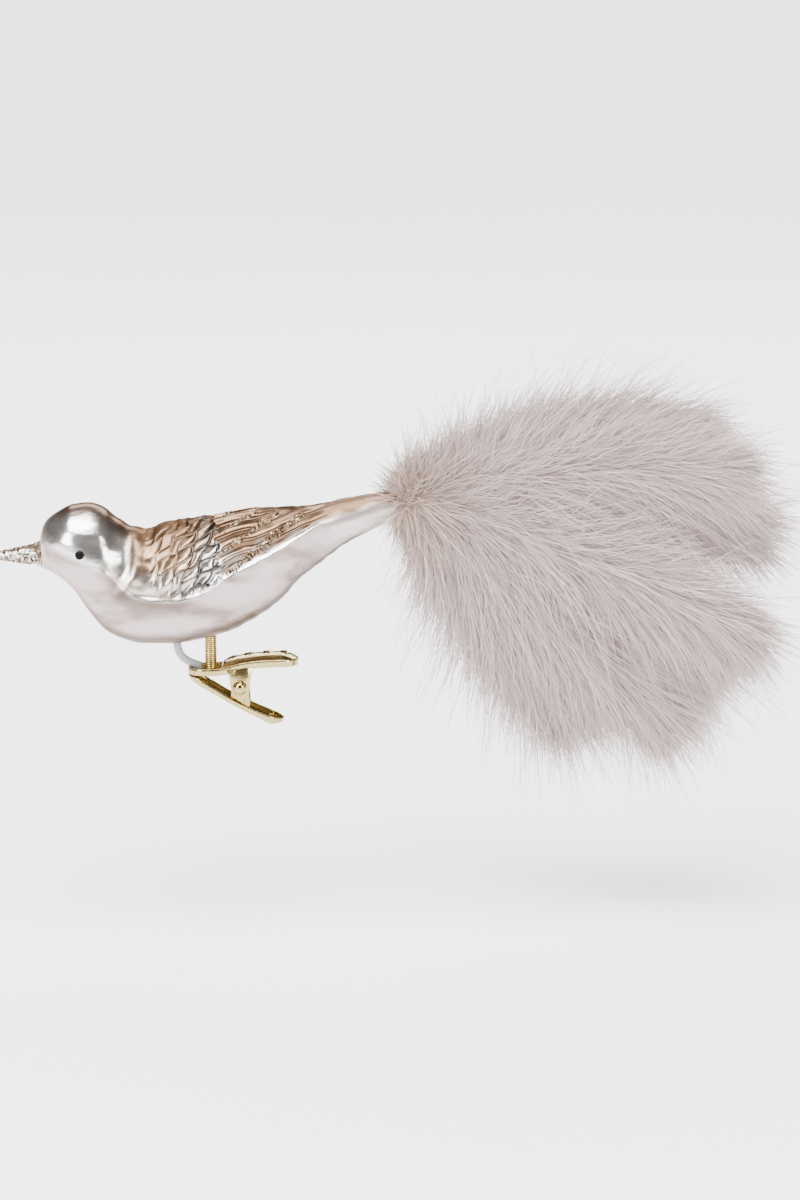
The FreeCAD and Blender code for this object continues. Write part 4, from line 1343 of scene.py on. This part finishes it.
# Plumes from the left to the right of the tail: heading as it leaves the mouth, bend over its
# length (degrees), length of the shaft.
PLUMES = [(-13.0, -14.0, 78.0), (17.0, -20.0, 70.0), (-39.0, -4.0, 72.0), (4.0, -17.0, 74.0),
          (-54.0, -2.0, 55.0), (30.0, -36.0, 64.0), (-25.0, -15.0, 77.0)]
PLUME_YAW_STEP = 3.0
PLUME_SPACING = 0.5
TUBE_RISE = 19.0
BOW_LENGTH = 8.0
TUFT_SHARE = 0.07
QUILL_DEPTH = 8.0
TAIL_START = np.array([49.9, 0.0, 43.25])


def shaft_points(rank, heading, bend, length):
    """Points along one plume's quill and shaft, from inside the tube to its tip."""
    yaw = math.radians(rank * PLUME_YAW_STEP)
    rise = math.radians(TUBE_RISE)
    points = []
    for depth in (QUILL_DEPTH, QUILL_DEPTH / 2, 0.0):
        points.append((-depth * math.cos(rise), 0.0, -depth * math.sin(rise)))
    place = np.zeros(2)
    steps = 26
    bow = BOW_LENGTH / steps
    angle = TUBE_RISE
    for _ in range(steps):
        angle += (heading - TUBE_RISE) / steps
        place = place + bow * np.array([math.cos(math.radians(angle)), math.sin(math.radians(angle))])
        points.append((place[0] * math.cos(yaw), place[0] * math.sin(yaw), place[1]))
    steps = 60
    for _ in range(steps):
        angle += bend / steps
        place = place + length / steps * np.array([math.cos(math.radians(angle)),
                                                   math.sin(math.radians(angle))])
        points.append((place[0] * math.cos(yaw), place[0] * math.sin(yaw), place[1]))
    start = TAIL_START + np.array([0, rank * PLUME_SPACING, 0])
    return np.array(points) + start, (-math.sin(yaw), math.cos(yaw), 0.0)


def make_plumes():
    """Seven plumes of down."""
    middle = (len(PLUMES) - 1) / 2
    for number, (heading, bend, length) in enumerate(PLUMES):
        rank = number - middle
        points, side = shaft_points(rank, heading, bend, length)
        curve = bpy.data.curves.new(f"plume_shaft_{number + 1}", "CURVE")
        curve.dimensions = "3D"
        spline = curve.splines.new("POLY")
        spline.points.add(len(points) - 1)
        for point, place in zip(spline.points, points):
            point.co = (*(place * MM), 1)
        holder = new_object(curve.name, curve)
        bare = (QUILL_DEPTH + 0.3) / (QUILL_DEPTH + BOW_LENGTH + length)
        piece = grow(f"plume_down_{number + 1}", holder, DOWN_GROWTH, {
            **DOWN_VALUES, "Side": side, "Root": tuple(TAIL_START * MM), "Bare Share": bare,
            "Tuft Share": bare + TUFT_SHARE, "Seed": 100 * number})
        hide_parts(f"plume_{number + 1}")
        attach(piece, "bird")


make_plumes()


# ---------------------------------------------------------------- carried-over nodes

def dress(node, material):
    """Give a CAD node its finish."""
    piece = frame["nodes"][node]
    piece.data.materials.clear()
    piece.data.materials.append(material)


for node_name, finish_material in (("foot_rivet", PLATE), ("belly_seat", CEMENT),
                                   ("tail_plug", CEMENT), ("tail_binding", THREAD)):
    dress(node_name, finish_material)


# ---------------------------------------------------------------- floor, light and camera

FLOOR_HALF = 9000.0
FLOOR_Z = -60.0


def make_floor():
    """Wide pale floor."""
    points = [(x * FLOOR_HALF, y * FLOOR_HALF, FLOOR_Z)
              for x, y in ((-1, -1), (1, -1), (1, 1), (-1, 1))]
    material, tree, shader = new_material("pale_floor", {
        "Roughness": 0.9, "Emission Color": (1.0, 1.0, 1.0, 1.0), "Emission Strength": 0.45})
    shade = tree.noise(8.0, 2.0)
    tree.feed(shader.inputs["Base Color"], tree.blend(shade, (0.92, 0.92, 0.92), (0.95, 0.95, 0.95)))
    new_piece("floor", points, [(0, 1, 2, 3)], material)


LIGHT_TARGET = (0.04, 0.0, 0.02)
# Name, place and size in metres, and power in watts.
SOFT_BOXES = [("left_box", (-0.70, -0.75, 0.50), (0.50, 0.70), 18),
              ("right_box", (0.80, -0.70, 0.40), (0.42, 0.70), 12),
              ("rear_box", (0.10, 0.90, 0.65), (0.9, 0.4), 8)]


def soft_box(name, place, size, power):
    """A square soft light aimed at the object."""
    light = bpy.data.lights.new(name, "AREA")
    light.shape = "RECTANGLE"
    light.size, light.size_y = size
    light.energy = power
    holder = new_object(name, light)
    holder.location = place
    aim = Vector(LIGHT_TARGET) - Vector(place)
    holder.rotation_euler = aim.to_track_quat("-Z", "Y").to_euler()


def make_lights():
    """Soft boxes to the left, right and rear, a soft light overhead and a dim room."""
    for box in SOFT_BOXES:
        soft_box(*box)
    overhead = bpy.data.lights.new("overhead", "SUN")
    overhead.energy = 9.5
    overhead.angle = math.radians(50)
    holder = new_object("overhead", overhead)
    holder.rotation_euler = (math.radians(14), math.radians(-6), 0)
    world = bpy.data.worlds.new("dim_room")
    world.use_nodes = True
    tree = Tree(world.node_tree)
    way = tree.make("ShaderNodeTexCoord", output="Generated")
    height = tree.make("ShaderNodeSeparateXYZ", None, {0: way}, output=2)
    tone = tree.ramp(height, [(0.0, (1.6, 1.58, 1.56)), (0.05, (0.50, 0.47, 0.45)),
                              (0.35, (0.10, 0.085, 0.075)), (1.0, (0.14, 0.12, 0.11))])
    tree.feed(world.node_tree.nodes["Background"].inputs["Color"], tone)
    bpy.context.scene.world = world


VIEW_HEIGHT = 12.0
FRAME_WIDTH = 200.0
FRAME_CENTRE = (50.0, 0.0, 18.7)
LENS = 135.0


def make_camera():
    """Long lens, level with the bird's left side and a little above it."""
    camera = bpy.data.cameras.new("camera")
    camera.lens = LENS
    camera.sensor_width = 36.0
    camera.clip_start = 0.01
    distance = LENS / 36.0 * FRAME_WIDTH * 1.5
    angle = math.radians(VIEW_HEIGHT)
    holder = new_object("camera", camera)
    target = Vector(FRAME_CENTRE) * MM
    away = Vector((0, -math.cos(angle), math.sin(angle))) * distance * MM
    holder.location = target + away
    holder.rotation_euler = (-away).to_track_quat("-Z", "Y").to_euler()
    bpy.context.scene.camera = holder


make_floor()
make_lights()
make_camera()
